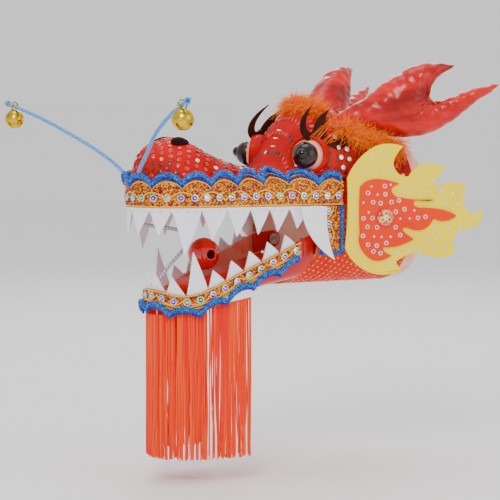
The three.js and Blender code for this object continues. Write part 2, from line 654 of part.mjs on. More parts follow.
function hornShape(grow = 0) {
  const upper = prong([
    [-78, -24, 7 + grow, 7 + grow], [-64, -17, 13 + grow, 11 + grow], [-48, -12, 18 + grow, 14 + grow],
    [-33, -7, 22 + grow, 16 + grow], [-16, 0, 27 + grow, 18 + grow],
    [-2, 13, 23 + grow, 17 + grow], [8, 25, 17 + grow, 14 + grow], [21, 33, 9.5 + grow, 9 + grow],
    [33, 37, 5 + grow, 5 + grow], [43, 39.5, 1.5 + grow, 1.5 + grow]]);
  const lower = prong([
    [-40, -14, 12 + grow, 10 + grow], [-22, -12, 21 + grow, 17 + grow], [0, -14, 20 + grow, 17 + grow],
    [18, -12, 17.5 + grow, 15 + grow], [38, -4, 12.5 + grow, 11 + grow], [58, 7, 8 + grow, 8 + grow],
    [74, 13, 5 + grow, 5 + grow], [86, 17.5, 1.5 + grow, 1.5 + grow]]);
  return join(upper, lower);
}

function browShape() {
  return curvedOutline([0, 47], [
    [-14, 39, -19, 27], [-22, 16, -14, 10], [-6, 3, 4, 9], [14, 2, 20, 0], [30, 1, 34, 10],
    [39, 20, 38, 30], [34, 20, 27, 15], [20, 8, 13, 12], [2, 22, 18, 42], [2, 36, -4, 23],
    [-9, 14, -12, 21], [-15, 31, 0, 47]]);
}

function buildHornsBrowsAndFur() {
  const onHead = headBlock(FIT_GAP + CARVE_SLACK);
  const horn = carve(hornShape(), onHead);
  const hornRoom = hornShape(FIT_GAP + GLUE_GAP);
  const lidRoom = ball(lidRadius + FIT_GAP, eyeCentre);
  const placeBrow = (plate) => plate.rotateX(BROW.tilt).translate(...BROW.at);
  const brow = placeBrow(uprightPlate(browShape(), FOAM_THICKNESS));
  const crest = limb(FOREHEAD_FUR, [-1, 0, 0.2], 8);
  const fringe = limb(HORN_FUR, [0.1, -0.8, 0.6], 8);
  const browRoom = placeBrow(uprightPlate(browShape(), FOAM_THICKNESS + 2 * FIT_GAP)
    .translate(0, FIT_GAP, 0));
  addPair("horn", horn, "satin");
  addPair("brow", carve(brow, onHead, hornRoom, lidRoom), "brown");
  add("forehead_fur",
    carve(crest, onHead, hornRoom, mirrored(hornRoom), browRoom, mirrored(browRoom)), "fur");
  addPair("horn_fur", carve(fringe, onHead, hornRoom, browRoom), "fur");
}

// ---------------------------------------------------------------- flames
function outerFlame() {
  return curvedOutline([1, 35], [
    [10, 55, 28, 65], [42, 72, 60, 66], [46, 52, 51, 44], [56, 35, 66, 36], [78, 58, 108, 44],
    [93, 38, 96, 18], [100, 36, 129, 27], [120, 14, 130, 0], [137, -5, 146, 3], [148, -12, 136, -17],
    [108, -18, 117, -41], [103, -50, 88, -44], [70, -36, 53, -49], [55, -56, 60, -58],
    [38, -66, 20, -57], [4, -48, -1, -34], [3, 0, 1, 35]]);
}

function innerFlame() {
  return curvedOutline([13.5, 26], [
    [24, 40, 55, 29], [40, 24, 52, 16], [72, 12, 92, 12], [70, 12, 71, 12], [68, 6, 78, 4.5],
    [104, 5, 117, -4], [104, -13, 92, -6], [84, -24, 64, -15], [50, -14, 71, -26.5],
    [54, -36, 38, -34], [37, -39, 47, -42.5], [30, -54, 18.5, -40], [10, -30, 13.5, -20], [12, 0, 13.5, 26]]);
}

function placeFlame(geometry, outward) {
  return geometry.translate(0, -outward, 0)
    .rotateZ(THREE.MathUtils.degToRad(-FLAME.flareDegrees))
    .translate(FLAME.x, -FLAME.y, FLAME.z);
}

function buildFlames() {
  addPair("flame_outer", placeFlame(uprightPlate(outerFlame(), FLAME.thickness), 0), "yellow");
  const innerOut = FLAME.thickness + FIT_GAP;
  addPair("flame_inner", placeFlame(uprightPlate(innerFlame(), FLAME.innerThickness), innerOut), "orange");
  const front = -innerOut - FLAME.innerThickness - FIT_GAP - FLOWER.thickness;
  const disc = new THREE.CylinderGeometry(FLOWER.radius, FLOWER.radius, FLOWER.thickness, 18)
    .translate(FLOWER.along, front + FLOWER.thickness / 2, FLOWER.z);
  const petals = [0, 1, 2].map((k) => {
    const angle = Math.PI / 2 + (2 * Math.PI * k) / 3;
    return new THREE.CylinderGeometry(FLOWER.petalRadius, FLOWER.petalRadius, FLOWER.petalThickness, 8)
      .translate(FLOWER.along + FLOWER.petalReach * Math.cos(angle), front - FLOWER.petalRise,
        FLOWER.z + FLOWER.petalReach * Math.sin(angle));
  });
  const pearl = new THREE.SphereGeometry(FLOWER.pearlRadius, 10, 6)
    .translate(FLOWER.along, front - FLOWER.pearlRise, FLOWER.z);
  addPair("flower_button", placeFlame(join(disc, ...petals, pearl), 0), "lining");
}

// ---------------------------------------------------------------- jaw
function jawRearX(z) {
  const below = clamp01((HEAD.cheekCornerZ - z) / (HEAD.cheekCornerZ - HEAD.cheekBottomZ));
  return mix(JAW.rearX, JAW.lipX, below);
}

const jawBottomAt = (x) => mix(JAW.frontBottomZ, JAW.rearBottomZ,
  (x - JAW.noseCentreX + JAW.noseRadius) / (JAW.lipX - JAW.noseCentreX + JAW.noseRadius));

function jawTrayPoint(u, angle, offset) {
  const noseShare = 0.42;
  if (u < noseShare) {
    const turn = (Math.PI / 2) * (u / noseShare);
    const rimX = JAW.noseCentreX - JAW.noseRadius * Math.cos(turn);
    return archPoint(JAW.noseCentreX - (JAW.noseRadius + offset) * Math.cos(turn),
      (JAW.noseRadius + offset) * Math.sin(turn), heightAt(JAW_RIM, rimX),
      jawBottomAt(rimX) - offset, angle, JAW.squareness);
  }
  const t = (u - noseShare) / (1 - noseShare);
  let point = [mix(JAW.noseCentreX, JAW.rearX, t), 0, 0];
  for (let pass = 0; pass < 3; pass += 1) {
    const x = mix(JAW.noseCentreX, pass ? jawRearX(point[2]) : JAW.rearX, t);
    point = archPoint(x, JAW_RIM_PLAN.widthAt(x) + offset, heightAt(JAW_RIM, x),
      jawBottomAt(x) - offset, angle, JAW.squareness);
  }
  return point;
}

function hingeBore(radius, length) {
  return new THREE.CylinderGeometry(radius, radius, length, 14).translate(HINGE.x, 0, HINGE.z);
}

function hingeArm() {
  const outline = new THREE.Shape();
  outline.moveTo(HINGE.armFrontX, HINGE.armTopZ);
  outline.lineTo(HINGE.x, HINGE.z + HINGE.eyeRadius);
  outline.absarc(HINGE.x, HINGE.z, HINGE.eyeRadius, Math.PI / 2, -Math.PI / 2, true);
  outline.lineTo(HINGE.armFrontX, HINGE.armBottomZ);
  outline.closePath();
  const arm = uprightPlate(outline, HINGE.armOuterY - HINGE.armInnerY, 8).translate(0, -HINGE.armInnerY, 0);
  const spacer = new THREE.BoxGeometry(...HINGE.spacer)
    .translate(HINGE.spacerX, -HINGE.armInnerY - HINGE.spacerInset, HINGE.spacerZ);
  return carve(join(arm, spacer), hingeBore(HINGE.boreRadius, 200));
}

function buildJaw() {
  const tray = thickPatch(12, 12,
    (u, v) => jawTrayPoint(u, Math.PI * v, JAW.wallOuter),
    (u, v) => jawTrayPoint(u, Math.PI * v, JAW.wallInner), true);
  const arm = hingeArm();
  add("jaw_shell", join(tray, arm, mirrored(arm)), "jaw");

  const reach = reachTo(JAW_RIM_PLAN, JAW.bandRearX);
  const rimZ = (x) => heightAt(JAW_RIM, x);
  const bandAt = (offset) => (u, v) => {
    const distance = mix(-reach, reach, u);
    const [x] = rimPoint(JAW_RIM_PLAN, distance, 0, 0);
    return rimPoint(JAW_RIM_PLAN, distance, rimZ(x) - JAW.bandHeight * v, offset);
  };
  add("lower_band", thickPatch(26, 1, bandAt(TRIM_THICKNESS), bandAt(0)), "gold");
  add("lower_braid", wavyBraid((distance, wave) => {
    const [x] = rimPoint(JAW_RIM_PLAN, distance, 0, 0);
    return rimPoint(JAW_RIM_PLAN, distance, rimZ(x) - JAW.bandHeight - JAW.braidDrop + wave * JAW.braidWave,
      TRIM_THICKNESS + BRAID_RADIUS + JAW.braidLift);
  }, reach - TRIM.braidEnd), "blue");
  add("lower_teeth", toothStrip(JAW_RIM_PLAN, LOWER_TEETH, 0.3, (x) => rimZ(x) - JAW.toothRoot, 1,
    -JAW.toothInset), "foam");

  const slope = Math.atan2(TONGUE.rearZ - TONGUE.frontZ, TONGUE.rearX - TONGUE.frontX);
  const length = Math.hypot(TONGUE.rearX - TONGUE.frontX, TONGUE.rearZ - TONGUE.frontZ);
  const outline = new THREE.Shape();
  outline.moveTo(length, TONGUE.halfWidth);
  outline.lineTo(TONGUE.halfWidth, TONGUE.halfWidth);
  outline.absarc(TONGUE.halfWidth, 0, TONGUE.halfWidth, Math.PI / 2, (3 * Math.PI) / 2, false);
  outline.lineTo(length, -TONGUE.halfWidth);
  outline.closePath();
  const tongue = new THREE.ExtrudeGeometry(outline,
    { depth: TONGUE.thickness, bevelEnabled: false, curveSegments: 10 })
    .translate(0, 0, -TONGUE.thickness).rotateY(-slope).translate(TONGUE.frontX, 0, TONGUE.frontZ);
  add("tongue", tongue, "tongue");

  add("pearl_ball", pearlBall(), "jaw");
  const pin = join(
    new THREE.CylinderGeometry(HINGE.pinRadius, HINGE.pinRadius, HINGE.endY - HINGE.innerY, 12)
      .translate(HINGE.x, -(HINGE.endY + HINGE.innerY) / 2, HINGE.z),
    new THREE.CylinderGeometry(HINGE.headRadius, HINGE.headRadius, HINGE.headThickness, 12)
      .translate(HINGE.x, -HINGE.innerY + HINGE.headThickness / 4, HINGE.z),
  );
  addPair("hinge_pin", pin, "steel");
}

/** Hollow ball with a round port at each end of a level axis. */
function pearlBall() {
  const arc = (radius, from, to, steps) => [...Array(steps + 1).keys()].map((k) => {
    const angle = mix(from, to, k / steps);
    return new THREE.Vector2(radius * Math.cos(angle), radius * Math.sin(angle));
  });
  const outer = PEARL.radius;
  const inner = PEARL.radius - PEARL.wall;
  const edge = Math.acos(PEARL.portRadius / outer);
  const innerEdge = Math.acos(PEARL.portRadius / inner);
  const profile = [...arc(outer, -edge, edge, 6), ...arc(inner, innerEdge, -innerEdge, 6)];
  profile.push(profile[0].clone());
  return new THREE.LatheGeometry(profile, 14).translate(PEARL.x, 0, PEARL.z);
}

// ---------------------------------------------------------------- fringe, whiskers and cords
const FRINGE_PANELS = [
  ["fringe_side_left", -112, -68], ["fringe_corner_left", -67, -34], ["fringe_front", -33, 33],
  ["fringe_corner_right", 34, 67], ["fringe_side_right", 68, 112],
];

function buildFringe() {
  FRINGE_PANELS.forEach(([name, from, to]) => {
    const columns = Math.max(3, Math.round(Math.abs(to - from) / 9));
    const at = (offset) => (u, v) => {
      const distance = mix(from, to, u);
      const [x] = rimPoint(JAW_RIM_PLAN, distance, 0, 0);
      const top = jawBottomAt(x) - FRINGE.drop;
      return rimPoint(JAW_RIM_PLAN, distance, mix(top, FRINGE.bottomZ, v), offset);
    };
    add(name, thickPatch(columns, 1, at(-FRINGE.inset), at(-FRINGE.inset - FRINGE.thickness)), "orange");
  });
}

function buildWhiskers() {
  const stem = cordAlong(WHISKER, WHISKER_RADIUS, 6, 16);
  const knot = new THREE.SphereGeometry(KNOT_RADIUS, 8, 6).translate(...WHISKER[WHISKER.length - 1]);
  addPair("whisker", join(stem, knot), "blue");

  const arc = (radius, from, to, steps) => [...Array(steps + 1).keys()].map((k) => {
    const angle = mix(from, to, k / steps);
    return new THREE.Vector2(Math.max(0, radius * Math.cos(angle)), radius * Math.sin(angle));
  });
  const inner = BELL.radius - BELL.wall;
  const slot = Math.acos(BELL.slotRadius / BELL.radius);
  const profile = [...arc(inner, Math.PI / 2, -slot, 5), ...arc(BELL.radius, -slot, Math.PI / 2, 5)];
  profile[0].x = 0;
  profile[profile.length - 1].x = 0;
  const hang = BELL.radius + BELL.ringRadius - BELL.ringWire;
  const turn = Math.atan2(WHISKER[5][1] - WHISKER[4][1], WHISKER[5][0] - WHISKER[4][0]);
  const shell = new THREE.LatheGeometry(profile, 10).rotateX(Math.PI / 2).translate(0, 0, -hang);
  const ring = new THREE.TorusGeometry(BELL.ringRadius, BELL.ringWire, 4, 10).rotateY(Math.PI / 2)
    .rotateX(Math.PI / 2).rotateZ(turn);
  const place = [BELL.x, BELL.y, BELL.z];
  addPair("bell", join(shell, ring).translate(...place), "brass");
  const pelletZ = -hang - inner + BELL.pelletRadius + BELL.pelletRise;
  addPair("bell_pellet", new THREE.SphereGeometry(BELL.pelletRadius, 8, 6)
    .translate(BELL.x, BELL.y, BELL.z + pelletZ), "steel");
}

function buildJawCord() {
  add("jaw_cord", cordAlong(JAW_CORD.map(([x, z]) => [x, 0, z]), JAW_CORD_RADIUS, 8, 18), "silver");
}

buildHeadShells();
buildRearFrame();
buildHeadTrim();
buildNostrils();
buildEyes();
buildHornsBrowsAndFur();
buildFlames();
buildJaw();
buildFringe();
buildWhiskers();
buildJawCord();

export default dragon;
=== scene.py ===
"""Dragon-head kite: cloth, lace, foam, fur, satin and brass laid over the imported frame.

+Z is up, -X is the way the nose points and -Y is the dragon's left side. Shapes are drawn in
millimetres, and MeshPile.build turns them into metres. Lights and the camera are in metres.
"""

from __future__ import annotations

import logging
import math
from dataclasses import dataclass, field
from enum import Enum

import bpy
import numpy as np
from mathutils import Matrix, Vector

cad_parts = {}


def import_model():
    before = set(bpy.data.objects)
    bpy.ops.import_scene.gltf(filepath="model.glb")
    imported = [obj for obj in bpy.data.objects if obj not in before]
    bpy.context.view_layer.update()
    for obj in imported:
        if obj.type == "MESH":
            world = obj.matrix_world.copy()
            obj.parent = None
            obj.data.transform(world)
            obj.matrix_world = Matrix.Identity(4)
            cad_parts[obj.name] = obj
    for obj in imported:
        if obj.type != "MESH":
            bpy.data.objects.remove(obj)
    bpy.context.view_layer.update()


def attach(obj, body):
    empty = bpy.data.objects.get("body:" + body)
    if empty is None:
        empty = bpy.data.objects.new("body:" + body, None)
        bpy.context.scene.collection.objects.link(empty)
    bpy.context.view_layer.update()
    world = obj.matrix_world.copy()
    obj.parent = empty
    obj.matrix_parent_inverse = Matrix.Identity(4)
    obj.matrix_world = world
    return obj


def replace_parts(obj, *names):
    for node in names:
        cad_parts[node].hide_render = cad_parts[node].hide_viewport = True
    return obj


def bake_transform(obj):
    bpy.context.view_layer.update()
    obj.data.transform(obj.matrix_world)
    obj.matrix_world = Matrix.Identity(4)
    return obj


Array = np.ndarray
Colour = tuple[float, float, float]
LOG = logging.getLogger("dragon_kite")
MM = 0.001
SHARP_ANGLE = math.radians(42)


class Side(Enum):
    """One side of the dragon, as the sign of Y."""

    LEFT = -1
    RIGHT = 1

    @property
    def label(self) -> str:
        """The side's name in node names."""
        return self.name.lower()


# ---------------------------------------------------------------- shader nodes
def paint(red: int, green: int, blue: int) -> Colour:
    """A display colour of 0 to 255 as the linear colour that a shader takes."""
    return tuple((channel / 255.0) ** 2.2 for channel in (red, green, blue))


class Signal:
    """A value that runs through a material's nodes; sums and products of it make nodes too."""

    def __init__(self, kit: "NodeKit", socket: bpy.types.NodeSocket) -> None:
        self.kit = kit
        self.socket = socket

    def __add__(self, other: "Signal | float") -> "Signal":
        """Sum of two values."""
        return self.kit.maths("ADD", self, other)

    def __mul__(self, other: "Signal | float") -> "Signal":
        """Product of two values."""
        return self.kit.maths("MULTIPLY", self, other)

    def sine(self) -> "Signal":
        """Sine of the value in radians."""
        return self.kit.maths("SINE", self, 0.0)

    def between(self, low: float, high: float) -> "Signal":
        """0 below low, 1 above high and a smooth step in the middle.

        Args:
            low: Where the step starts.
            high: Where the step ends.

        Returns:
            The stepped value.
        """
        settings = {"interpolation_type": "SMOOTHSTEP"}
        return self.kit.node("ShaderNodeMapRange", settings, {0: self, 1: low, 2: high, 3: 0.0, 4: 1.0})


class NodeKit:
    """Builds one material's nodes."""

    def __init__(self, name: str) -> None:
        self.material = bpy.data.materials.new(name)
        self.material.use_nodes = True
        self.tree = self.material.node_tree
        self.shader = self.tree.nodes["Principled BSDF"]

    def node(self, kind: str, settings: dict, inputs: dict, output: int | str = 0) -> Signal:
        """Adds a node.

        Args:
            kind: The node's type.
            settings: Its own settings; "stops" fills a colour ramp.
            inputs: Values or signals by socket name or number.
            output: The socket to return.

        Returns:
            The chosen output.
        """
        made = self.tree.nodes.new(kind)
        for key, value in settings.items():
            if key == "stops":
                self._fill_ramp(made.color_ramp, value)
            else:
                setattr(made, key, value)
        for key, value in inputs.items():
            self._feed(made.inputs[key], value)
        return Signal(self, made.outputs[output])

    @staticmethod
    def _fill_ramp(ramp: bpy.types.ColorRamp, stops: list) -> None:
        """Puts the stops, each a place and a colour, into a ramp."""
        while len(ramp.elements) < len(stops):
            ramp.elements.new(0.5)
        for element, (place, colour) in zip(ramp.elements, stops):
            element.position = place
            element.color = (*colour, 1.0)

    def _feed(self, socket: bpy.types.NodeSocket, value: "Signal | float | tuple") -> None:
        """Links a signal to a socket or sets its value."""
        if isinstance(value, Signal):
            self.tree.links.new(value.socket, socket)
        elif isinstance(value, tuple) and len(value) == 3 and socket.type == "RGBA":
            socket.default_value = (*value, 1.0)
        else:
            socket.default_value = value

    def maths(self, operation: str, first: "Signal | float", second: "Signal | float") -> Signal:
        """One Math node."""
        return self.node("ShaderNodeMath", {"operation": operation}, {0: first, 1: second})

    def blend(self, factor: "Signal | float", first: "Signal | Colour", second: "Signal | Colour") -> Signal:
        """A colour between two others."""
        return self.node("ShaderNodeMix", {"data_type": "RGBA"}, {0: factor, 6: first, 7: second}, 2)

    def place(self) -> Signal:
        """Where a point is on the object, in metres."""
        return self.node("ShaderNodeTexCoord", {}, {}, "Object")

    def along(self) -> tuple[Signal, Signal]:
        """The two coordinates of the piece's own UV map."""
        split = self.tree.nodes.new("ShaderNodeSeparateXYZ")
        uv = self.node("ShaderNodeUVMap", {"uv_map": "UVMap"}, {})
        self.tree.links.new(uv.socket, split.inputs[0])
        return Signal(self, split.outputs[0]), Signal(self, split.outputs[1])

    def noise(self, scale: float, detail: float = 2.0, stretch: tuple = (1.0, 1.0, 1.0)) -> Signal:
        """Cloudy values from 0 to 1, with scale in features per metre."""
        spot = self.node("ShaderNodeMapping", {}, {"Vector": self.place(), "Scale": stretch})
        return self.node("ShaderNodeTexNoise", {}, {"Vector": spot, "Scale": scale, "Detail": detail})

    def cells(self, scale: float, feature: str = "F1", output: str = "Distance") -> Signal:
        """Values of a cell pattern, with scale in cells per metre."""
        return self.node("ShaderNodeTexVoronoi", {"feature": feature},
                         {"Vector": self.place(), "Scale": scale}, output)

    def relief(self, height: Signal, strength: float, distance: float) -> Signal:
        """A bumped normal from a height."""
        return self.node("ShaderNodeBump", {}, {"Strength": strength, "Distance": distance,
                                                "Height": height}, "Normal")

    def dress(self, **sockets: "Signal | float | tuple") -> bpy.types.Material:
        """Feeds the shader's sockets, named with underscores, and returns the material."""
        for key, value in sockets.items():
            self._feed(self.shader.inputs[key.replace("_", " ").title().replace("Ior", "IOR")], value)
        return self.material


# ---------------------------------------------------------------- finishes
@dataclass(frozen=True)
class Cloth:
    """Thin woven cloth with a colour drift, a fine weave and a soft sheen."""

    name: str
    light: Colour
    dark: Colour
    roughness: float = 0.55
    thread: float = 0.7 * MM
    drift: float = 40.0
    sheen: float = 0.0
    creases: float = 0.4

    def build(self) -> bpy.types.Material:
        """Two crossed sine waves for the weave, slow noise for the colour and the creases."""
        kit = NodeKit(self.name)
        drift = kit.noise(self.drift, 3.0)
        turn = 2 * math.pi / self.thread
        split = kit.tree.nodes.new("ShaderNodeSeparateXYZ")
        kit.tree.links.new(kit.place().socket, split.inputs[0])
        x, y, z = (Signal(kit, out) for out in split.outputs)
        weave = (x * turn).sine() * (z * turn).sine() + (y * turn).sine() * 0.5
        folds = kit.noise(90.0, 4.0, (0.35, 1.0, 1.6))
        height = weave * 0.12 + folds * self.creases
        colour = kit.blend(drift.between(0.3, 0.72), self.dark, self.light)
        colour = kit.blend((weave * 0.5 + 0.5) * 0.18, colour, self.dark)
        return kit.dress(base_color=colour, roughness=drift * 0.15 + (self.roughness - 0.07),
                         normal=kit.relief(height, 0.5, 0.9 * MM), sheen_weight=self.sheen,
                         sheen_roughness=0.4, specular_ior_level=0.12)


@dataclass(frozen=True)
class Satin:
    """Glossy satin: long highlights, small puckers and painted shade, a darker colour, in their hollows."""

    name: str
    light: Colour
    dark: Colour

    def build(self) -> bpy.types.Material:
        """Stretched noise makes the puckers and paints shade into their hollows; a finer one makes the
        threads.
        """
        kit = NodeKit(self.name)
        puckers = kit.noise(30.0, 3.0, (0.45, 0.45, 1.4))
        threads = kit.noise(900.0, 1.0, (0.15, 0.15, 1.0))
        # Painted shade: the puckers' hollows take the dark colour.
        colour = kit.blend(puckers.between(0.36, 0.66), self.dark, self.light)
        return kit.dress(base_color=colour, roughness=puckers * 0.14 + 0.2,
                         normal=kit.relief(puckers + threads * 0.04, 0.3, 1.6 * MM),
                         specular_ior_level=0.3, coat_weight=0.12, coat_roughness=0.12)


@dataclass(frozen=True)
class SheetFoam:
    """Smooth sheet foam with a fine closed-cell grain and faint soiling."""

    name: str
    colour: Colour
    shade: Colour
    roughness: float = 0.5
    glow: float = 0.0

    def build(self) -> bpy.types.Material:
        """Fine cells make the grain; slow noise makes the shade."""
        kit = NodeKit(self.name)
        shade = kit.noise(28.0, 3.0)
        grain = kit.cells(2600.0)
        colour = kit.blend(shade.between(0.42, 0.8) * 0.5, self.colour, self.shade)
        return kit.dress(base_color=colour, roughness=shade * 0.12 + (self.roughness - 0.06),
                         normal=kit.relief(grain, 0.16, 0.25 * MM), specular_ior_level=0.12,
                         subsurface_weight=self.glow,
                         subsurface_radius=(0.004, 0.003, 0.003), subsurface_scale=0.5)


@dataclass(frozen=True)
class Plastic:
    """Moulded or blown plastic with faint ripples."""

    name: str
    colour: Colour
    shade: Colour
    roughness: float = 0.25
    glow: float = 0.0
    coat: float = 0.0
    ripple: float = 0.3

    def build(self) -> bpy.types.Material:
        """Slow noise for the colour, ripples and smears."""
        kit = NodeKit(self.name)
        ripple = kit.noise(60.0, 2.0)
        smear = kit.noise(170.0, 4.0)
        colour = kit.blend(ripple.between(0.35, 0.75), self.colour, self.shade)
        return kit.dress(base_color=colour, roughness=smear * 0.14 + (self.roughness - 0.05),
                         normal=kit.relief(ripple, self.ripple, 0.7 * MM), coat_weight=self.coat,
                         coat_roughness=0.08, subsurface_weight=self.glow,
                         subsurface_radius=(0.012, 0.006, 0.005), subsurface_scale=0.6)


@dataclass(frozen=True)
class Glitter:
    """Metal-thread lace or chenille: every small cell has its own colour and shine."""

    name: str
    ramp: tuple
    grain: float = 1100.0
    metal: float = 0.55
    relief: float = 0.8

    def build(self) -> bpy.types.Material:
        """Cells give each thread its colour, its shine and its height."""
        kit = NodeKit(self.name)
        tone = kit.cells(self.grain, "F1", "Color")
        value = kit.node("ShaderNodeSeparateColor", {}, {0: tone}, 0)
        other = kit.node("ShaderNodeSeparateColor", {}, {0: tone}, 1)
        bump = kit.cells(self.grain)
        colour = kit.node("ShaderNodeValToRGB", {"stops": list(self.ramp)}, {0: value})
        return kit.dress(base_color=colour, roughness=other * 0.35 + 0.22,
                         metallic=other * 0.4 + (self.metal - 0.2),
                         normal=kit.relief(bump, self.relief, 0.5 * MM))


@dataclass(frozen=True)
class Strands:
    """Yarn or fur: the colour changes from strand to strand and along each one."""

    name: str
    root: Colour
    tip: Colour
    odd: Colour
    roughness: float = 0.5

    def build(self) -> bpy.types.Material:
        """The UV map's first value runs along a strand and its second tells strands apart."""
        kit = NodeKit(self.name)
        along, which = kit.along()
        colour = kit.blend(along.between(0.0, 1.0), self.root, self.tip)
        colour = kit.blend((which * 91.7).sine().between(0.1, 0.9), colour, self.odd)
        fibre = kit.noise(1500.0, 2.0, (1.0, 1.0, 0.08))
        return kit.dress(base_color=colour, roughness=self.roughness, specular_ior_level=0.2,
                         normal=kit.relief(fibre, 0.35, 0.3 * MM))


@dataclass(frozen=True)
class PlyCord:
    """Twisted or braided cord with thread lines across its plies."""

    name: str
    light: Colour
    dark: Colour
    roughness: float = 0.5
    threads: float = 160.0

    def build(self) -> bpy.types.Material:
        """Sine lines over the cord's own UV map, with a speckle of loose fibre."""
        kit = NodeKit(self.name)
        along, ply = kit.along()
        lines = (along * (2 * math.pi * self.threads) + ply).sine() * 0.5 + 0.5
        speckle = kit.noise(1400.0, 2.0)
        colour = kit.blend(lines * 0.5 + speckle * 0.4, self.dark, self.light)
        return kit.dress(base_color=colour, roughness=self.roughness,
                         normal=kit.relief(lines + speckle, 0.5, 0.25 * MM))


@dataclass(frozen=True)
class Metal:
    """Polished or satin metal with fine scratches and tarnish."""

    name: str
    colour: Colour
    tarnish: Colour
    roughness: float = 0.22

    def build(self) -> bpy.types.Material:
        """Noise darkens and roughens patches; fine stretched noise scratches."""
        kit = NodeKit(self.name)
        patch = kit.noise(160.0, 5.0)
        scratch = kit.noise(900.0, 2.0, (1.0, 1.0, 0.1))
        colour = kit.blend(patch.between(0.45, 0.8), self.colour, self.tarnish)
        return kit.dress(base_color=colour, metallic=1.0, roughness=patch * 0.25 + (self.roughness - 0.08),
                         normal=kit.relief(scratch, 0.12, 0.2 * MM))


@dataclass(frozen=True)
class Spangle:
    """A stamped foil sequin or a foiled glass stone."""

    name: str
    colour: Colour
    flash: Colour
    metal: float = 0.8
    roughness: float = 0.16

    def build(self) -> bpy.types.Material:
        """Slow noise shifts the foil between its own colour and a lighter painted glint."""
        kit = NodeKit(self.name)
        shift = kit.noise(240.0, 1.0)
        # Painted glint: patches of noise take the lighter colour, as if catching the light.
        colour = kit.blend(shift.between(0.42, 0.66), self.colour, self.flash)
        return kit.dress(base_color=colour, metallic=self.metal,
                         roughness=shift * 0.12 + (self.roughness - 0.05), coat_weight=0.6,
                         coat_roughness=0.04)


@dataclass(frozen=True)
class Bamboo:
    """Split bamboo: pale, with long fibres."""

    name: str = "bamboo"
    light: Colour = paint(222, 188, 130)
    dark: Colour = paint(176, 134, 80)

    def build(self) -> bpy.types.Material:
        """Noise stretched along the stick draws the fibres."""
        kit = NodeKit(self.name)
        fibre = kit.noise(420.0, 4.0, (1.0, 0.3, 0.3))
        colour = kit.blend(fibre.between(0.35, 0.7), self.dark, self.light)
        return kit.dress(base_color=colour, roughness=fibre * 0.2 + 0.4,
                         normal=kit.relief(fibre, 0.3, 0.4 * MM))


@dataclass(frozen=True)
class Floor:
    """The pale studio sweep."""

    name: str = "studio_sweep"

    def build(self) -> bpy.types.Material:
        """Almost white paper with a faint mottle."""
        kit = NodeKit(self.name)
        mottle = kit.noise(3.0, 2.0)
        colour = kit.blend(mottle, (0.94, 0.94, 0.94), (0.96, 0.96, 0.96))
        return kit.dress(base_color=colour, roughness=0.9)


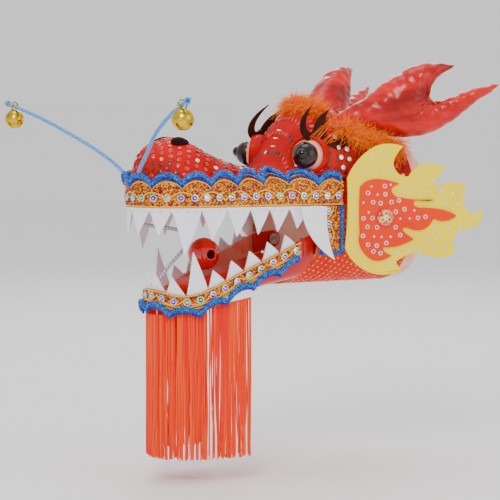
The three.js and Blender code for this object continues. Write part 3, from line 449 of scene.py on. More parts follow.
class Wardrobe:
    """Every finish of the kite, each built once."""

    def __init__(self) -> None:
        """Names each finish after what it covers."""
        self.snout_cloth = Cloth("snout_cloth", paint(212, 8, 0), paint(176, 0, 0), creases=0.25).build()
        self.cheek_cloth = Cloth("cheek_cloth", paint(240, 58, 0), paint(224, 24, 0), 0.6).build()
        self.shell = Plastic("pink_shell", paint(246, 190, 170), paint(240, 160, 134), 0.28, 0.3).build()
        self.lining = Plastic("jaw_lining", paint(250, 150, 126), paint(240, 112, 88), 0.4, 0.1).build()
        self.jaw_wall = Plastic("jaw_wall", paint(206, 2, 0), paint(180, 0, 0), 0.3, 0.0, 0.2).build()
        self.foam = SheetFoam("white_foam", paint(242, 242, 250), paint(230, 230, 242), 0.5, 0.1).build()
        self.yellow = SheetFoam("yellow_foam", paint(255, 226, 0), paint(250, 208, 0)).build()
        self.orange = SheetFoam("orange_foam", paint(238, 56, 14), paint(226, 36, 8)).build()
        self.felt = Cloth("brow_felt", paint(74, 30, 12), paint(44, 16, 6), 0.9, sheen=0.2).build()
        self.lid = Cloth("lid_cloth", paint(214, 10, 0), paint(184, 2, 0), 0.5).build()
        # The satin's dark colour is painted shade in the puckers' hollows.
        self.satin = Satin("red_satin", paint(222, 4, 0), paint(140, 0, 0)).build()
        self.tongue = SheetFoam("tongue_foam", paint(196, 30, 8), paint(160, 18, 6), 0.6).build()
        self.pearl = Plastic("pearl_plastic", paint(226, 8, 0), paint(190, 0, 0), 0.12, coat=0.8,
                             ripple=0.05).build()
        self.eye = Plastic("eye_plastic", paint(240, 158, 136), paint(232, 126, 104), 0.16, 0.2, 0.4).build()
        self.dark_eye = Plastic("dark_eye", paint(40, 8, 4), paint(24, 4, 2), 0.06, 0.0, 0.0, 0.02).build()
        self.nostril = Cloth("nostril_felt", paint(50, 14, 6), paint(30, 6, 2), 0.9).build()
        # Every spangle's second colour is a painted glint, a lighter patch as if catching the light.
        self.amber = Spangle("amber_dot", paint(250, 104, 4), paint(255, 140, 40), 0.35, 0.35).build()
        self.fur = Strands("orange_fur", paint(246, 84, 0), paint(255, 150, 4), paint(255, 116, 0)).build()
        self.wisp = Strands("brow_wisp", paint(250, 120, 0), paint(255, 150, 10), paint(214, 84, 0)).build()
        self.yarn = Strands("fringe_yarn", paint(238, 24, 0), paint(244, 52, 0), paint(252, 92, 6),
                            0.36).build()
        self.whisker = PlyCord("whisker_cord", paint(120, 196, 244), paint(8, 96, 190), threads=60.0).build()
        self.thread = Cloth("white_thread", paint(236, 234, 236), paint(206, 200, 204), 0.7).build()
        self.black_eye = Plastic("black_eye", paint(16, 6, 4), paint(26, 10, 6), 0.08, 0.0, 0.0, 0.03).build()
        self.iris_edge = Plastic("iris_edge", paint(90, 24, 10), paint(64, 16, 6), 0.3).build()
        self.petal = Plastic("petal", paint(255, 200, 30), paint(250, 170, 10), 0.3).build()
        self.bead = Plastic("pearl_bead", paint(250, 238, 226), paint(240, 220, 206), 0.15, 0.2, 0.8).build()
        self.clear = Spangle("clear_rhinestone", paint(232, 236, 240), paint(255, 255, 255), 0.7, 0.1).build()
        self.silver = PlyCord("silver_cord", paint(236, 236, 244), paint(112, 110, 134), 0.35, 40.0).build()
        self.gold_thread = PlyCord("gold_thread", paint(255, 206, 60), paint(232, 150, 16), 0.28).build()
        self.brass = Metal("bell_brass", paint(220, 180, 40), paint(150, 110, 16), 0.2).build()
        self.steel = Metal("steel", paint(190, 192, 196), paint(130, 130, 134), 0.3).build()
        self.bamboo = Bamboo().build()
        # The sequins' second colours are painted glints.
        self.sequin_dark = Spangle("dark_sequin", paint(64, 2, 0), paint(96, 6, 0), 0.1, 0.42).build()
        self.sequin_red = Spangle("red_sequin", paint(206, 4, 0), paint(230, 20, 2), 0.15, 0.36).build()
        self.sequin_pale = Spangle("pale_sequin", paint(255, 226, 206), paint(255, 248, 240), 0.5).build()
        self.ring_sequin = Spangle("ring_sequin", paint(250, 226, 214), paint(255, 255, 255), 0.3).build()
        self.rose = Spangle("rose_centre", paint(206, 40, 60), paint(230, 90, 90), 0.4).build()
        self.gems = [
            Spangle("blue_stone", paint(16, 40, 200), paint(40, 110, 240)).build(),
            Spangle("violet_stone", paint(96, 24, 180), paint(170, 80, 240)).build(),
            Spangle("green_stone", paint(0, 110, 60), paint(60, 200, 140)).build(),
            Spangle("sky_stone", paint(90, 160, 220), paint(200, 235, 255)).build(),
        ]
        self.seeds = [
            Spangle("red_seed", paint(140, 6, 4), paint(200, 20, 8), 0.3).build(),
            Spangle("amber_seed", paint(240, 140, 0), paint(255, 196, 30), 0.5).build(),
            Spangle("plum_seed", paint(90, 10, 80), paint(140, 30, 130), 0.4).build(),
        ]
        self.lace = Glitter("gold_lace", (
            (0.0, paint(104, 12, 2)), (0.36, paint(166, 40, 4)), (0.52, paint(228, 128, 4)),
            (0.72, paint(255, 188, 20)), (1.0, paint(140, 10, 6))), 900.0).build()
        self.chenille = Glitter("blue_chenille", (
            (0.0, paint(4, 16, 120)), (0.3, paint(0, 64, 180)), (0.6, paint(0, 112, 204)),
            (0.85, paint(0, 150, 216)), (1.0, paint(70, 14, 140))), 900.0, 0.1, 1.0).build()
        self.violet_edge = Glitter("violet_edge", (
            (0.0, paint(30, 8, 110)), (0.4, paint(60, 20, 150)), (0.7, paint(16, 40, 180)),
            (1.0, paint(130, 30, 170))), 1000.0, 0.1, 1.0).build()


# ---------------------------------------------------------------- meshes
@dataclass
class Patch:
    """Points, faces and one UV pair a point."""

    points: Array
    faces: list[Array]
    uv: Array | None = None


def signed_volume(points: Array, faces: list[Array]) -> float:
    """Six times the volume that the faces enclose, negative when they look inwards."""
    total = 0.0
    for group in faces:
        for k in range(1, group.shape[1] - 1):
            a, b, c = points[group[:, 0]], points[group[:, k]], points[group[:, k + 1]]
            total += float(np.einsum("ij,ij->", a, np.cross(b, c)))
    return total


class MeshPile:
    """Patches gathered into one mesh piece."""

    def __init__(self) -> None:
        self.patches: list[tuple[Patch, int]] = []

    def add(self, patch: Patch, finish: int = 0) -> "MeshPile":
        """Adds a closed patch, its faces turned outwards, with one of the piece's materials."""
        if not len(patch.points):
            return self
        centred = patch.points - patch.points.mean(axis=0)
        if signed_volume(centred, patch.faces) < 0:
            patch = Patch(patch.points, [group[:, ::-1] for group in patch.faces], patch.uv)
        self.patches.append((patch, finish))
        return self

    @staticmethod
    def _weld(points: Array, corners: Array) -> tuple[Array, Array]:
        """Makes one point of all that lie in the same place, within a hundredth of a micron."""
        _, first, number = np.unique(np.round(points, 8), axis=0, return_index=True, return_inverse=True)
        return points[first], number.reshape(-1)[corners].astype(np.int32)

    def build(self, name: str, materials: list[bpy.types.Material], body: str | None,
              slot: str) -> bpy.types.Object:
        """Makes the mesh object and puts it on its body.

        Args:
            name: The piece's name.
            materials: Its materials, in the order that add() numbers them.
            body: The body that it rides on, or None to leave the piece unparented.
            slot: The record's material slot; not used.

        Returns:
            The new object.
        """
        points, corners, counts, uvs, finishes = [], [], [], [], []
        start = 0
        for patch, finish in self.patches:
            points.append(patch.points)
            uv = patch.uv if patch.uv is not None else np.zeros((len(patch.points), 2))
            for group in patch.faces:
                corners.append((group + start).ravel())
                counts.append(np.full(len(group), group.shape[1]))
                finishes.append(np.full(len(group), finish))
                uvs.append(uv[group.ravel()])
            start += len(patch.points)
        points, corners = self._weld(np.concatenate(points) * MM, np.concatenate(corners))
        counts, finishes = np.concatenate(counts), np.concatenate(finishes).astype(np.int32)
        mesh = bpy.data.meshes.new(name)
        mesh.vertices.add(len(points))
        mesh.vertices.foreach_set("co", points.astype(np.float32).ravel())
        mesh.loops.add(len(corners))
        mesh.loops.foreach_set("vertex_index", corners)
        mesh.polygons.add(len(counts))
        starts = np.concatenate([[0], np.cumsum(counts)[:-1]])
        mesh.polygons.foreach_set("loop_start", starts.astype(np.int32))
        mesh.polygons.foreach_set("material_index", finishes)
        mesh.polygons.foreach_set("use_smooth", np.ones(len(counts), bool))
        layer = mesh.uv_layers.new(name="UVMap")
        layer.data.foreach_set("uv", np.concatenate(uvs).astype(np.float32).ravel())
        mesh.update(calc_edges=True)
        mesh.validate()
        mesh.set_sharp_from_angle(angle=SHARP_ANGLE)
        for material in materials:
            mesh.materials.append(material)
        piece = bpy.data.objects.new(name, mesh)
        bpy.context.scene.collection.objects.link(piece)
        if body:
            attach(piece, body)
        LOG.info("%s: %d faces on %s", name, len(counts), body or "a blend")
        return piece


def grid_faces(rows: int, columns: int, wrap_rows: bool = False, wrap_columns: bool = False) -> Array:
    """Quads of a grid of points that is numbered row by row."""
    i, j = np.meshgrid(np.arange(rows if wrap_rows else rows - 1),
                       np.arange(columns if wrap_columns else columns - 1), indexing="ij")
    i_next, j_next = (i + 1) % rows, (j + 1) % columns
    corners = [i * columns + j, i_next * columns + j, i_next * columns + j_next, i * columns + j_next]
    return np.stack(corners, axis=-1).reshape(-1, 4)


def thick_sheet(outer: Array, inner: Array, folded: bool = False) -> Patch:
    """A sheet with two faces and closed edges.

    Args:
        outer: Grid of points of one face, rows by columns by 3.
        inner: The same grid on the other face.
        folded: Whether the first row folds onto itself, so that it has no edge.

    Returns:
        The closed patch.
    """
    rows, columns = outer.shape[:2]
    count = rows * columns
    top = grid_faces(rows, columns)
    number = np.arange(count).reshape(rows, columns)
    edge = np.concatenate([number[:-1, -1], number[-1, :0:-1], number[:0:-1, 0], number[0, :-1]])
    following = np.roll(edge, -1)
    if folded:
        edge, following = edge[:1 - columns], following[:1 - columns]
    wall = np.stack([edge, following, following + count, edge + count], axis=-1)
    points = np.concatenate([outer.reshape(-1, 3), inner.reshape(-1, 3)])
    u, v = np.meshgrid(np.linspace(0, 1, rows), np.linspace(0, 1, columns), indexing="ij")
    uv = np.stack([u.ravel(), v.ravel()], axis=-1)
    return Patch(points, [top, top[:, ::-1] + count, wall], np.concatenate([uv, uv]))


def unit(vectors: Array) -> Array:
    """The vectors at length one."""
    length = np.linalg.norm(vectors, axis=-1, keepdims=True)
    return vectors / np.maximum(length, 1e-12)


def whole_turn(sides: int) -> Array:
    """Evenly spaced angles round a whole turn."""
    return 2 * np.pi * np.arange(sides) / sides


def run_along(points: Array) -> Array:
    """Distance of each point along the line that they make."""
    return np.concatenate([[0], np.cumsum(np.linalg.norm(np.diff(points, axis=0), axis=1))])


def cubic(t: Array, span: Array, values: tuple[Array, Array], slopes: tuple[Array, Array]) -> Array:
    """A cubic between two values with a slope at each, for t from 0 to 1 over the span."""
    return ((1 + 2 * t) * (1 - t) ** 2 * values[0] + t * t * (3 - 2 * t) * values[1]
            + span * (t * (1 - t) ** 2 * slopes[0] - t * t * (1 - t) * slopes[1]))


def circle(centre: Array, radius: float, axis: Array, turn: Array) -> Array:
    """Points of a circle about an axis that isn't upright, at the given angles."""
    across = unit(np.cross(axis, [0.0, 0.0, 1.0]))
    return centre + radius * (np.cos(turn) * across + np.sin(turn) * np.cross(axis, across))


def rods(paths: Array, radii: Array | float, sides: int = 6,
         reference: tuple = (0.0, 0.0, 1.0)) -> Patch:
    """Round rods along many paths at once.

    With T the path's direction, U = T x reference and V = T x U, a point is
    path + radius (cos a U + sin a V) for a round the whole turn.

    Args:
        paths: Rods by points by 3, or points by 3 for one rod.
        radii: Radius at each point, or one for all.
        sides: Corners of a section.
        reference: A direction that no path runs along.

    Returns:
        The closed rods; their UV map holds the share of the length and the rod's number.
    """
    paths = paths[None] if paths.ndim == 2 else paths
    many, steps = paths.shape[:2]
    radius = np.broadcast_to(np.asarray(radii, dtype=float), (many, steps))
    tangent = unit(np.gradient(paths, axis=1))
    side = unit(np.cross(tangent, np.asarray(reference, dtype=float)))
    third = np.cross(tangent, side)
    turn = whole_turn(sides)[:, None]
    section = np.cos(turn) * side[:, :, None] + np.sin(turn) * third[:, :, None]
    points = paths[:, :, None] + radius[:, :, None, None] * section
    ring = grid_faces(steps, sides, wrap_columns=True)
    offset = (np.arange(many) * steps * sides)[:, None, None]
    walls = (ring[None] + offset).reshape(-1, 4)
    first = np.arange(sides)[None] + offset[:, 0]
    last = (steps - 1) * sides + np.arange(sides)[::-1][None] + offset[:, 0]
    share = np.linspace(0, 1, steps)[None, :, None]
    number = np.arange(many)[:, None, None]
    uv = np.stack([np.broadcast_to(share, (many, steps, sides)),
                   np.broadcast_to(number, (many, steps, sides))], axis=-1)
    return Patch(points.reshape(-1, 3), [walls, first, last], uv.reshape(-1, 2))


def stamp(template: Patch, places: Array, normals: Array, sizes: Array | float) -> Patch:
    """Copies of a small shape, each standing on a surface.

    Args:
        template: The shape, lying on its own XY plane and facing +Z.
        places: Where each copy goes.
        normals: The direction that each copy faces.
        sizes: How much each copy is scaled.

    Returns:
        All the copies as one patch.
    """
    many = len(places)
    normals = unit(normals)
    helper = np.where(np.abs(normals[:, 2:]) < 0.9, [[0.0, 0.0, 1.0]], [[1.0, 0.0, 0.0]])
    side = unit(np.cross(helper, normals))
    size = np.broadcast_to(np.asarray(sizes, dtype=float), (many,))[:, None, None]
    frame = np.stack([side, np.cross(normals, side), normals], axis=1)
    points = places[:, None] + size * np.einsum("kj,njc->nkc", template.points, frame)
    count = len(template.points)
    shift = (np.arange(many) * count)[:, None, None]
    faces = [(group[None] + shift).reshape(-1, group.shape[1]) for group in template.faces]
    return Patch(points.reshape(-1, 3), faces)


def ring_points(radius: float, height: float, sides: int) -> Array:
    """Points of a level circle."""
    turn = whole_turn(sides)
    return np.stack([radius * np.cos(turn), radius * np.sin(turn), np.full(sides, height)], axis=-1)


def capped(rings: list[Array] | Array) -> Patch:
    """A closed body through rings of points, with a flat cap at each end."""
    sides = len(rings[0])
    first = np.arange(sides)
    caps = [first[None], ((len(rings) - 1) * sides + first[::-1])[None]]
    return Patch(np.concatenate(rings), [grid_faces(len(rings), sides, wrap_columns=True), *caps])


def turned(profile: list[tuple[float, float]], sides: int) -> Patch:
    """A closed shape turned about +Z from a profile of (radius, height), capped at both ends."""
    return capped([ring_points(max(radius, 1e-7), height, sides) for radius, height in profile])


def revolved(profile: list[tuple[float, float]], sides: int) -> Patch:
    """A ring-shaped body: a closed profile of (radius, height) turned about +Z."""
    rings = [ring_points(radius, height, sides) for radius, height in profile]
    return Patch(np.concatenate(rings), [grid_faces(len(rings), sides, wrap_rows=True, wrap_columns=True)])


def stand(shape: Patch, centre: tuple | Array, axis: tuple | Array) -> Patch:
    """A shape moved to a point, with its own +Z turned along an axis."""
    return stamp(shape, np.array([centre], dtype=float), np.array([axis], dtype=float), 1.0)


SEQUIN = turned([(0.98, 0.0), (1.0, 0.05), (0.62, 0.16), (0.2, 0.12), (0.2, 0.02)], 9)
STONE = turned([(1.0, 0.0), (1.0, 0.22), (0.55, 0.62)], 8)
SEED = turned([(0.5, -0.2), (1.0, 0.3), (0.6, 0.85)], 6)
RING = revolved([(0.56, 0.0), (1.0, 0.0), (1.0, 0.1), (0.9, 0.24), (0.68, 0.24), (0.56, 0.1)], 14)


def ball(centre: tuple | Array, radius: float, axis: tuple = (0.0, 0.0, 1.0), sides: int = 48,
         start: float = 0.0, end: float = 180.0, wall: float | None = None) -> Patch:
    """A ball, a slice of one, or a slice of a hollow one.

    Args:
        centre: Its centre.
        radius: Its outer radius.
        axis: The direction of its pole.
        sides: Faces round it.
        start: Angle from the pole at which the slice starts, in degrees.
        end: Angle at which it ends.
        wall: Thickness of a hollow ball's wall, or None for a solid.

    Returns:
        The closed patch.
    """
    angles = np.radians(np.linspace(start, end, max(6, int(sides * (end - start) / 360))))
    profile = [(radius * math.sin(a), radius * math.cos(a)) for a in angles]
    if wall:
        inner = radius - wall
        profile += [(inner * math.sin(a), inner * math.cos(a)) for a in angles[::-1]]
        shape = revolved(profile, sides)
    else:
        shape = turned(profile, sides)
    return stand(shape, centre, axis)


def curved(start: tuple, curves: list[tuple], steps: int = 9) -> Array:
    """A closed outline of quadratic curves, each given as bend x, bend z, end x, end z.

    A curve's point is (1-t)^2 start + 2t(1-t) bend + t^2 end.
    """
    ends = np.array([curve[2:] for curve in curves], dtype=float)
    bends = np.array([curve[:2] for curve in curves], dtype=float)
    starts = np.vstack([np.array([start], dtype=float), ends[:-1]])
    t = np.arange(steps)[None, :, None] / steps
    points = (1 - t) ** 2 * starts[:, None] + 2 * t * (1 - t) * bends[:, None] + t ** 2 * ends[:, None]
    return points.reshape(-1, 2)


def plate(outline: Array, near: float, far: float, round_edge: float = 0.5) -> Patch:
    """An upright plate with slightly rounded edges.

    Args:
        outline: Points of (x, z).
        near: Y of its outer face.
        far: Y of its inner face.
        round_edge: How far the edges are rounded.

    Returns:
        The closed plate.
    """
    ahead = np.roll(outline, -1, axis=0) - np.roll(outline, 1, axis=0)
    normal = unit(np.stack([ahead[:, 1], -ahead[:, 0]], axis=-1))
    area = np.sum(outline[:, 0] * np.roll(outline[:, 1], -1) - np.roll(outline[:, 0], -1) * outline[:, 1])
    inward = -normal if area > 0 else normal
    way = math.copysign(round_edge, far - near)
    layers = [(near, round_edge), (near + 0.3 * way, 0.3 * round_edge), (near + way, 0.0),
              (far - way, 0.0), (far - 0.3 * way, 0.3 * round_edge), (far, round_edge)]
    return capped([np.insert(outline + inset * inward, 1, y, axis=1) for y, inset in layers])


def smooth_path(points: list[tuple] | tuple, steps: int) -> Array:
    """A smooth line through every point, as a cubic in the distance along them.

    Each point's slope is that of the chord between its neighbours.
    """
    knots = np.array(points, dtype=float)
    at = run_along(knots)
    slope = np.gradient(knots, at, axis=0)
    where = np.linspace(0, at[-1], steps)
    i = np.clip(np.searchsorted(at, where, side="right") - 1, 0, len(at) - 2)
    span = (at[i + 1] - at[i])[:, None]
    t = (where - at[i])[:, None] / span
    return cubic(t, span, (knots[i], knots[i + 1]), (slope[i], slope[i + 1]))


def plies(path: Array, radius: float, count: int, pitch: float, thickness: float) -> Array:
    """Lines that wind round a path like the plies of a rope.

    Args:
        path: The rope's centreline.
        radius: How far the plies' centres are from it.
        count: How many plies.
        pitch: Length of one turn.
        thickness: Radius of a ply, used to fade the winding in at both ends.

    Returns:
        Plies by points by 3.
    """
    tangent = unit(np.gradient(path, axis=0))
    helper = np.array([0.31, 0.42, 0.85])
    side = unit(np.cross(tangent, helper))
    third = np.cross(tangent, side)
    length = run_along(path)
    ends = np.clip(np.minimum(length, length[-1] - length) / (4 * thickness), 0.25, 1)
    phase = 2 * np.pi * (length[None] / pitch + np.arange(count)[:, None] / count)
    return path[None] + (radius * ends)[None, :, None] * (
        np.cos(phase)[:, :, None] * side[None] + np.sin(phase)[:, :, None] * third[None])


def tufts(roots: Array, directions: Array, lengths: Array, random: np.random.Generator, steps: int = 5,
          curl: float = 0.35, droop: float = 0.0) -> Array:
    """Hair lines that leave their roots and curl at random.

    With s from 0 to 1 along a hair and W and S two random vectors, its point is root + length
    (direction s + curl sqrt(s) (0.35 W (sin(5 s + phase) - sin phase) + 0.6 S s^2) - droop s^2 z).

    Args:
        roots: Where the hairs start.
        directions: Which way each one leaves.
        lengths: Length of each.
        random: Source of the curls.
        steps: Points of a hair.
        curl: How far it strays, as a share of its length.
        droop: How far it sags, as a share of its length.

    Returns:
        Hairs by points by 3.
    """
    count = len(roots)
    s = np.linspace(0, 1, steps)[None, :, None]
    wander = random.normal(size=(count, 1, 3))
    sway = random.normal(size=(count, 1, 3))
    phase = random.uniform(0, 2 * np.pi, (count, 1, 1))
    bend = curl * (wander * (np.sin(5.0 * s + phase) - np.sin(phase)) * 0.35 + sway * s ** 2 * 0.6)
    heading = unit(directions)[:, None] * s + bend * s ** 0.5
    heading[:, :, 2] -= droop * s[:, :, 0] ** 2
    return roots[:, None] + lengths[:, None, None] * heading


# ---------------------------------------------------------------- the head's and the jaw's surfaces
def clamp(value: Array, low: float = 0.0, high: float = 1.0) -> Array:
    """The values kept between two limits."""
    return np.clip(value, low, high)


@dataclass(frozen=True)
class HeightLine:
    """A smooth line through points of (x, z); a point's slope is that between its neighbours."""

    points: tuple

    def at(self, x: Array | float) -> Array:
        """Heights at the given x, as a cubic between the two points beside each."""
        xs, zs = np.array(self.points, dtype=float).T
        slope = np.empty_like(zs)
        slope[1:-1] = (zs[2:] - zs[:-2]) / (xs[2:] - xs[:-2])
        slope[0], slope[-1] = (zs[1] - zs[0]) / (xs[1] - xs[0]), (zs[-1] - zs[-2]) / (xs[-1] - xs[-2])
        x = np.clip(x, xs[0], xs[-1])
        i = np.clip(np.searchsorted(xs, x) - 1, 0, len(xs) - 2)
        span = xs[i + 1] - xs[i]
        t = (x - xs[i]) / span
        return cubic(t, span, (zs[i], zs[i + 1]), (slope[i], slope[i + 1]))


def arch(x: Array | float, half_width: Array | float, rim: Array | float, peak: Array | float,
         angle: Array, power: float) -> Array:
    """Points of sections shaped as superellipses; angle 0 is the left rim and pi the right one.

    y = -w sgn(cos a) |cos a|^(2/n) and z = rim + (peak - rim) |sin a|^(2/n).
    """
    cosine, sine = np.cos(angle), np.maximum(np.sin(angle), 0)
    cosine = np.where(np.abs(cosine) < 1e-9, 0, cosine)
    y = -half_width * np.sign(cosine) * np.abs(cosine) ** (2 / power)
    return np.stack(np.broadcast_arrays(x, y, rim + (peak - rim) * sine ** (2 / power)), axis=-1)


def even_angles(count: int, power: float) -> Array:
    """Angles from 0 to pi whose points are spread evenly round an arch of that power."""
    angle = np.linspace(0, np.pi, 4000)
    run = run_along(arch(0.0, 1.0, 0.0, 1.0, angle, power))
    even = np.interp(np.linspace(0, run[-1], count), run, angle)
    return 0.5 * (even + np.pi - even[::-1])


class RoundFront:
    """A plan with a round front, whose width behind it comes from width_at."""

    @property
    def quarter(self) -> float:
        """Length of the front's quarter circle."""
        return math.pi / 2 * self.nose_radius

    def rim(self, distance: Array, lift: Array | float) -> tuple[Array, Array]:
        """The plan's x and y at a distance round the edge, negative on the left."""
        along = np.abs(distance)
        phi = clamp(along / self.nose_radius, 0, np.pi / 2)
        behind = along > self.quarter
        x_behind = self.nose_centre + along - self.quarter
        radius = self.nose_radius + lift
        x = np.where(behind, x_behind, self.nose_centre - radius * np.cos(phi))
        y = np.where(behind, self.width_at(x_behind) + lift, radius * np.sin(phi))
        return x, np.where(distance < 0, -y, y)


@dataclass(frozen=True)
class HeadForm(RoundFront):
    """The upper head: a round nose that widens to the collar, under a ridge line."""

    nose_centre: float = -249.0
    nose_radius: float = 46.0
    collar_half_width: float = 70.0
    mouth: float = 9.0
    power: float = 2.4
    cheek_power: float = 2.2
    cheek_front: float = -119.0
    cheek_lip: float = -138.0
    cheek_corner: float = -45.0
    cheek_bottom: float = -72.0
    cloth_end: float = -14.0
    ridge: HeightLine = HeightLine((
        (-295, 34), (-290, 50), (-280, 66), (-265, 74), (-250, 76), (-227, 64), (-204, 54), (-182, 47),
        (-160, 44), (-150, 46), (-140, 62), (-130, 82), (-118, 98), (-100, 105), (-70, 103), (-40, 92),
        (-15, 78), (0, 70)))

    def width_at(self, x: Array) -> Array:
        """Half width at x behind the nose's centre: a sine from the nose's to the collar's."""
        t = clamp((x - self.nose_centre) / -self.nose_centre)
        return self.nose_radius + (self.collar_half_width - self.nose_radius) * np.sin(np.pi / 2 * t)

    def roof(self, distance: Array, angle: Array, lift: Array | float) -> Array:
        """Points of the upper head, at a distance round the mouth line and an angle round the section."""
        phi = clamp(distance / self.nose_radius, 0, np.pi / 2)
        behind = distance > self.quarter
        x = np.where(behind, self.nose_centre + distance - self.quarter,
                     self.nose_centre - (self.nose_radius + lift) * np.cos(phi))
        ridge_x = np.where(behind, x, self.nose_centre - self.nose_radius * np.cos(phi))
        width = np.where(behind, self.width_at(x) + lift, (self.nose_radius + lift) * np.sin(phi))
        return arch(x, width, self.mouth, self.ridge.at(ridge_x) + lift, angle, self.power)

    def roof_reach(self, x: float) -> float:
        """Distance round the mouth line at which x is reached."""
        return self.quarter + x - self.nose_centre

    def cheek(self, along: Array, angle: Array, lift: float, rear: float) -> Array:
        """Points of the trough below the mouth line, from its slanting front edge to the rear."""
        top = self.mouth - 0.4
        z = arch(0.0, 1.0, top, self.cheek_bottom, angle, self.cheek_power)[..., 2]
        below = clamp((self.cheek_corner - z) / (self.cheek_corner - self.cheek_bottom))
        front = self.cheek_front + (self.cheek_lip - self.cheek_front) * below
        x = front + (rear - front) * along
        return arch(x, self.width_at(x) + lift, top, self.cheek_bottom - lift, angle, self.cheek_power)

    def side(self, distance: Array, z: Array, lift: Array | float) -> Array:
        """Points of the head's side, at a distance round the mouth line, a height and a lift off it."""
        distance, z, lift = np.broadcast_arrays(distance, z, lift)
        x, y = self.rim(distance, 0.0)
        out_x, out_y = self.rim(distance, lift)
        rise = self.ridge.at(x) - self.mouth
        share = np.minimum(clamp((z - self.mouth) / rise), 0.97)
        upright = clamp((-265 - x) / 20)
        lean = (1 - share ** self.power) ** (1 / self.power)
        lean = lean + (1 - lean) * upright
        pull = lean ** (self.power - 1) / np.maximum(1, np.abs(y))
        up = (1 - upright) * share ** (self.power - 1) / rise
        length = np.hypot(pull, up)
        return np.stack([x + (out_x - x) * pull / length, y * lean + (out_y - y) * pull / length,
                         z + lift * up / length], axis=-1)

    def skin(self, x: Array, y: Array) -> Array:
        """Height of the upper head's skin over a point of the plan."""
        nose = np.sqrt(np.maximum(self.nose_radius ** 2 - (x - self.nose_centre) ** 2, 1))
        width = np.where(x < self.nose_centre, nose, self.width_at(x))
        share = clamp(np.abs(y) / width, 0, 0.999)
        return self.mouth + (self.ridge.at(x) - self.mouth) * (1 - share ** self.power) ** (1 / self.power)


@dataclass(frozen=True)
class JawForm(RoundFront):
    """The lower jaw: a round-fronted tray that deepens towards the front."""

    nose_centre: float = -236.0
    nose_radius: float = 42.0
    rear: float = -123.0
    rear_half_width: float = 55.5
    lip: float = -142.0
    corner: float = -45.0
    bottom: float = -72.0
    power: float = 5.0
    front_depth: float = -95.0
    rear_depth: float = -70.0
    line: HeightLine = HeightLine((
        (-278, -71), (-262, -76), (-240, -72), (-200, -54), (-160, -36), (-122, -19)))

    def width_at(self, x: Array) -> Array:
        """Half width at x, which grows evenly towards the rear."""
        t = (x - self.nose_centre) / (self.rear - self.nose_centre)
        return self.nose_radius + (self.rear_half_width - self.nose_radius) * t

    def floor(self, x: Array) -> Array:
        """Height of the tray's underside."""
        front = self.nose_centre - self.nose_radius
        return self.front_depth + (self.rear_depth - self.front_depth) * (x - front) / (self.lip - front)

    def side(self, distance: Array, drop: Array, lift: Array | float) -> Array:
        """Points of the jaw's side, at a distance round it and a drop below its rim."""
        distance, drop, lift = np.broadcast_arrays(distance, drop, lift)
        x, y = self.rim(distance, lift)
        bare, _ = self.rim(distance, 0.0)
        return np.stack([x, y, self.line.at(bare) - drop], axis=-1)

    def tray(self, share: Array, angle: Array, lift: float) -> Array:
        """Points of the tray, with share 0 at the front and 1 at the slanting rear edge."""
        nose_share = 0.42
        phi = np.pi / 2 * clamp(share / nose_share)
        rim_x = self.nose_centre - self.nose_radius * np.cos(phi)
        nose = arch(self.nose_centre - (self.nose_radius + lift) * np.cos(phi),
                    (self.nose_radius + lift) * np.sin(phi), self.line.at(rim_x),
                    self.floor(rim_x) - lift, angle, self.power)
        t = clamp((share - nose_share) / (1 - nose_share))
        end = self.rear + 0 * angle * share
        for _ in range(3):
            x = self.nose_centre + (end - self.nose_centre) * t
            body = arch(x, self.width_at(x) + lift, self.line.at(x), self.floor(x) - lift, angle, self.power)
            below = clamp((self.corner - body[..., 2]) / (self.corner - self.bottom))
            end = self.rear + (self.lip - self.rear) * below
        return np.where((share < nose_share)[..., None], nose, body)


HEAD = HeadForm()
JAW = JawForm()


def spread(count: int, low: float, high: float) -> Array:
    """Evenly spaced values, both ends among them."""
    return np.linspace(low, high, count)


def mesh_grid(first: Array, second: Array) -> tuple[Array, Array]:
    """Two grids that hold the first values along the rows and the second along the columns."""
    return np.meshgrid(first, second, indexing="ij")


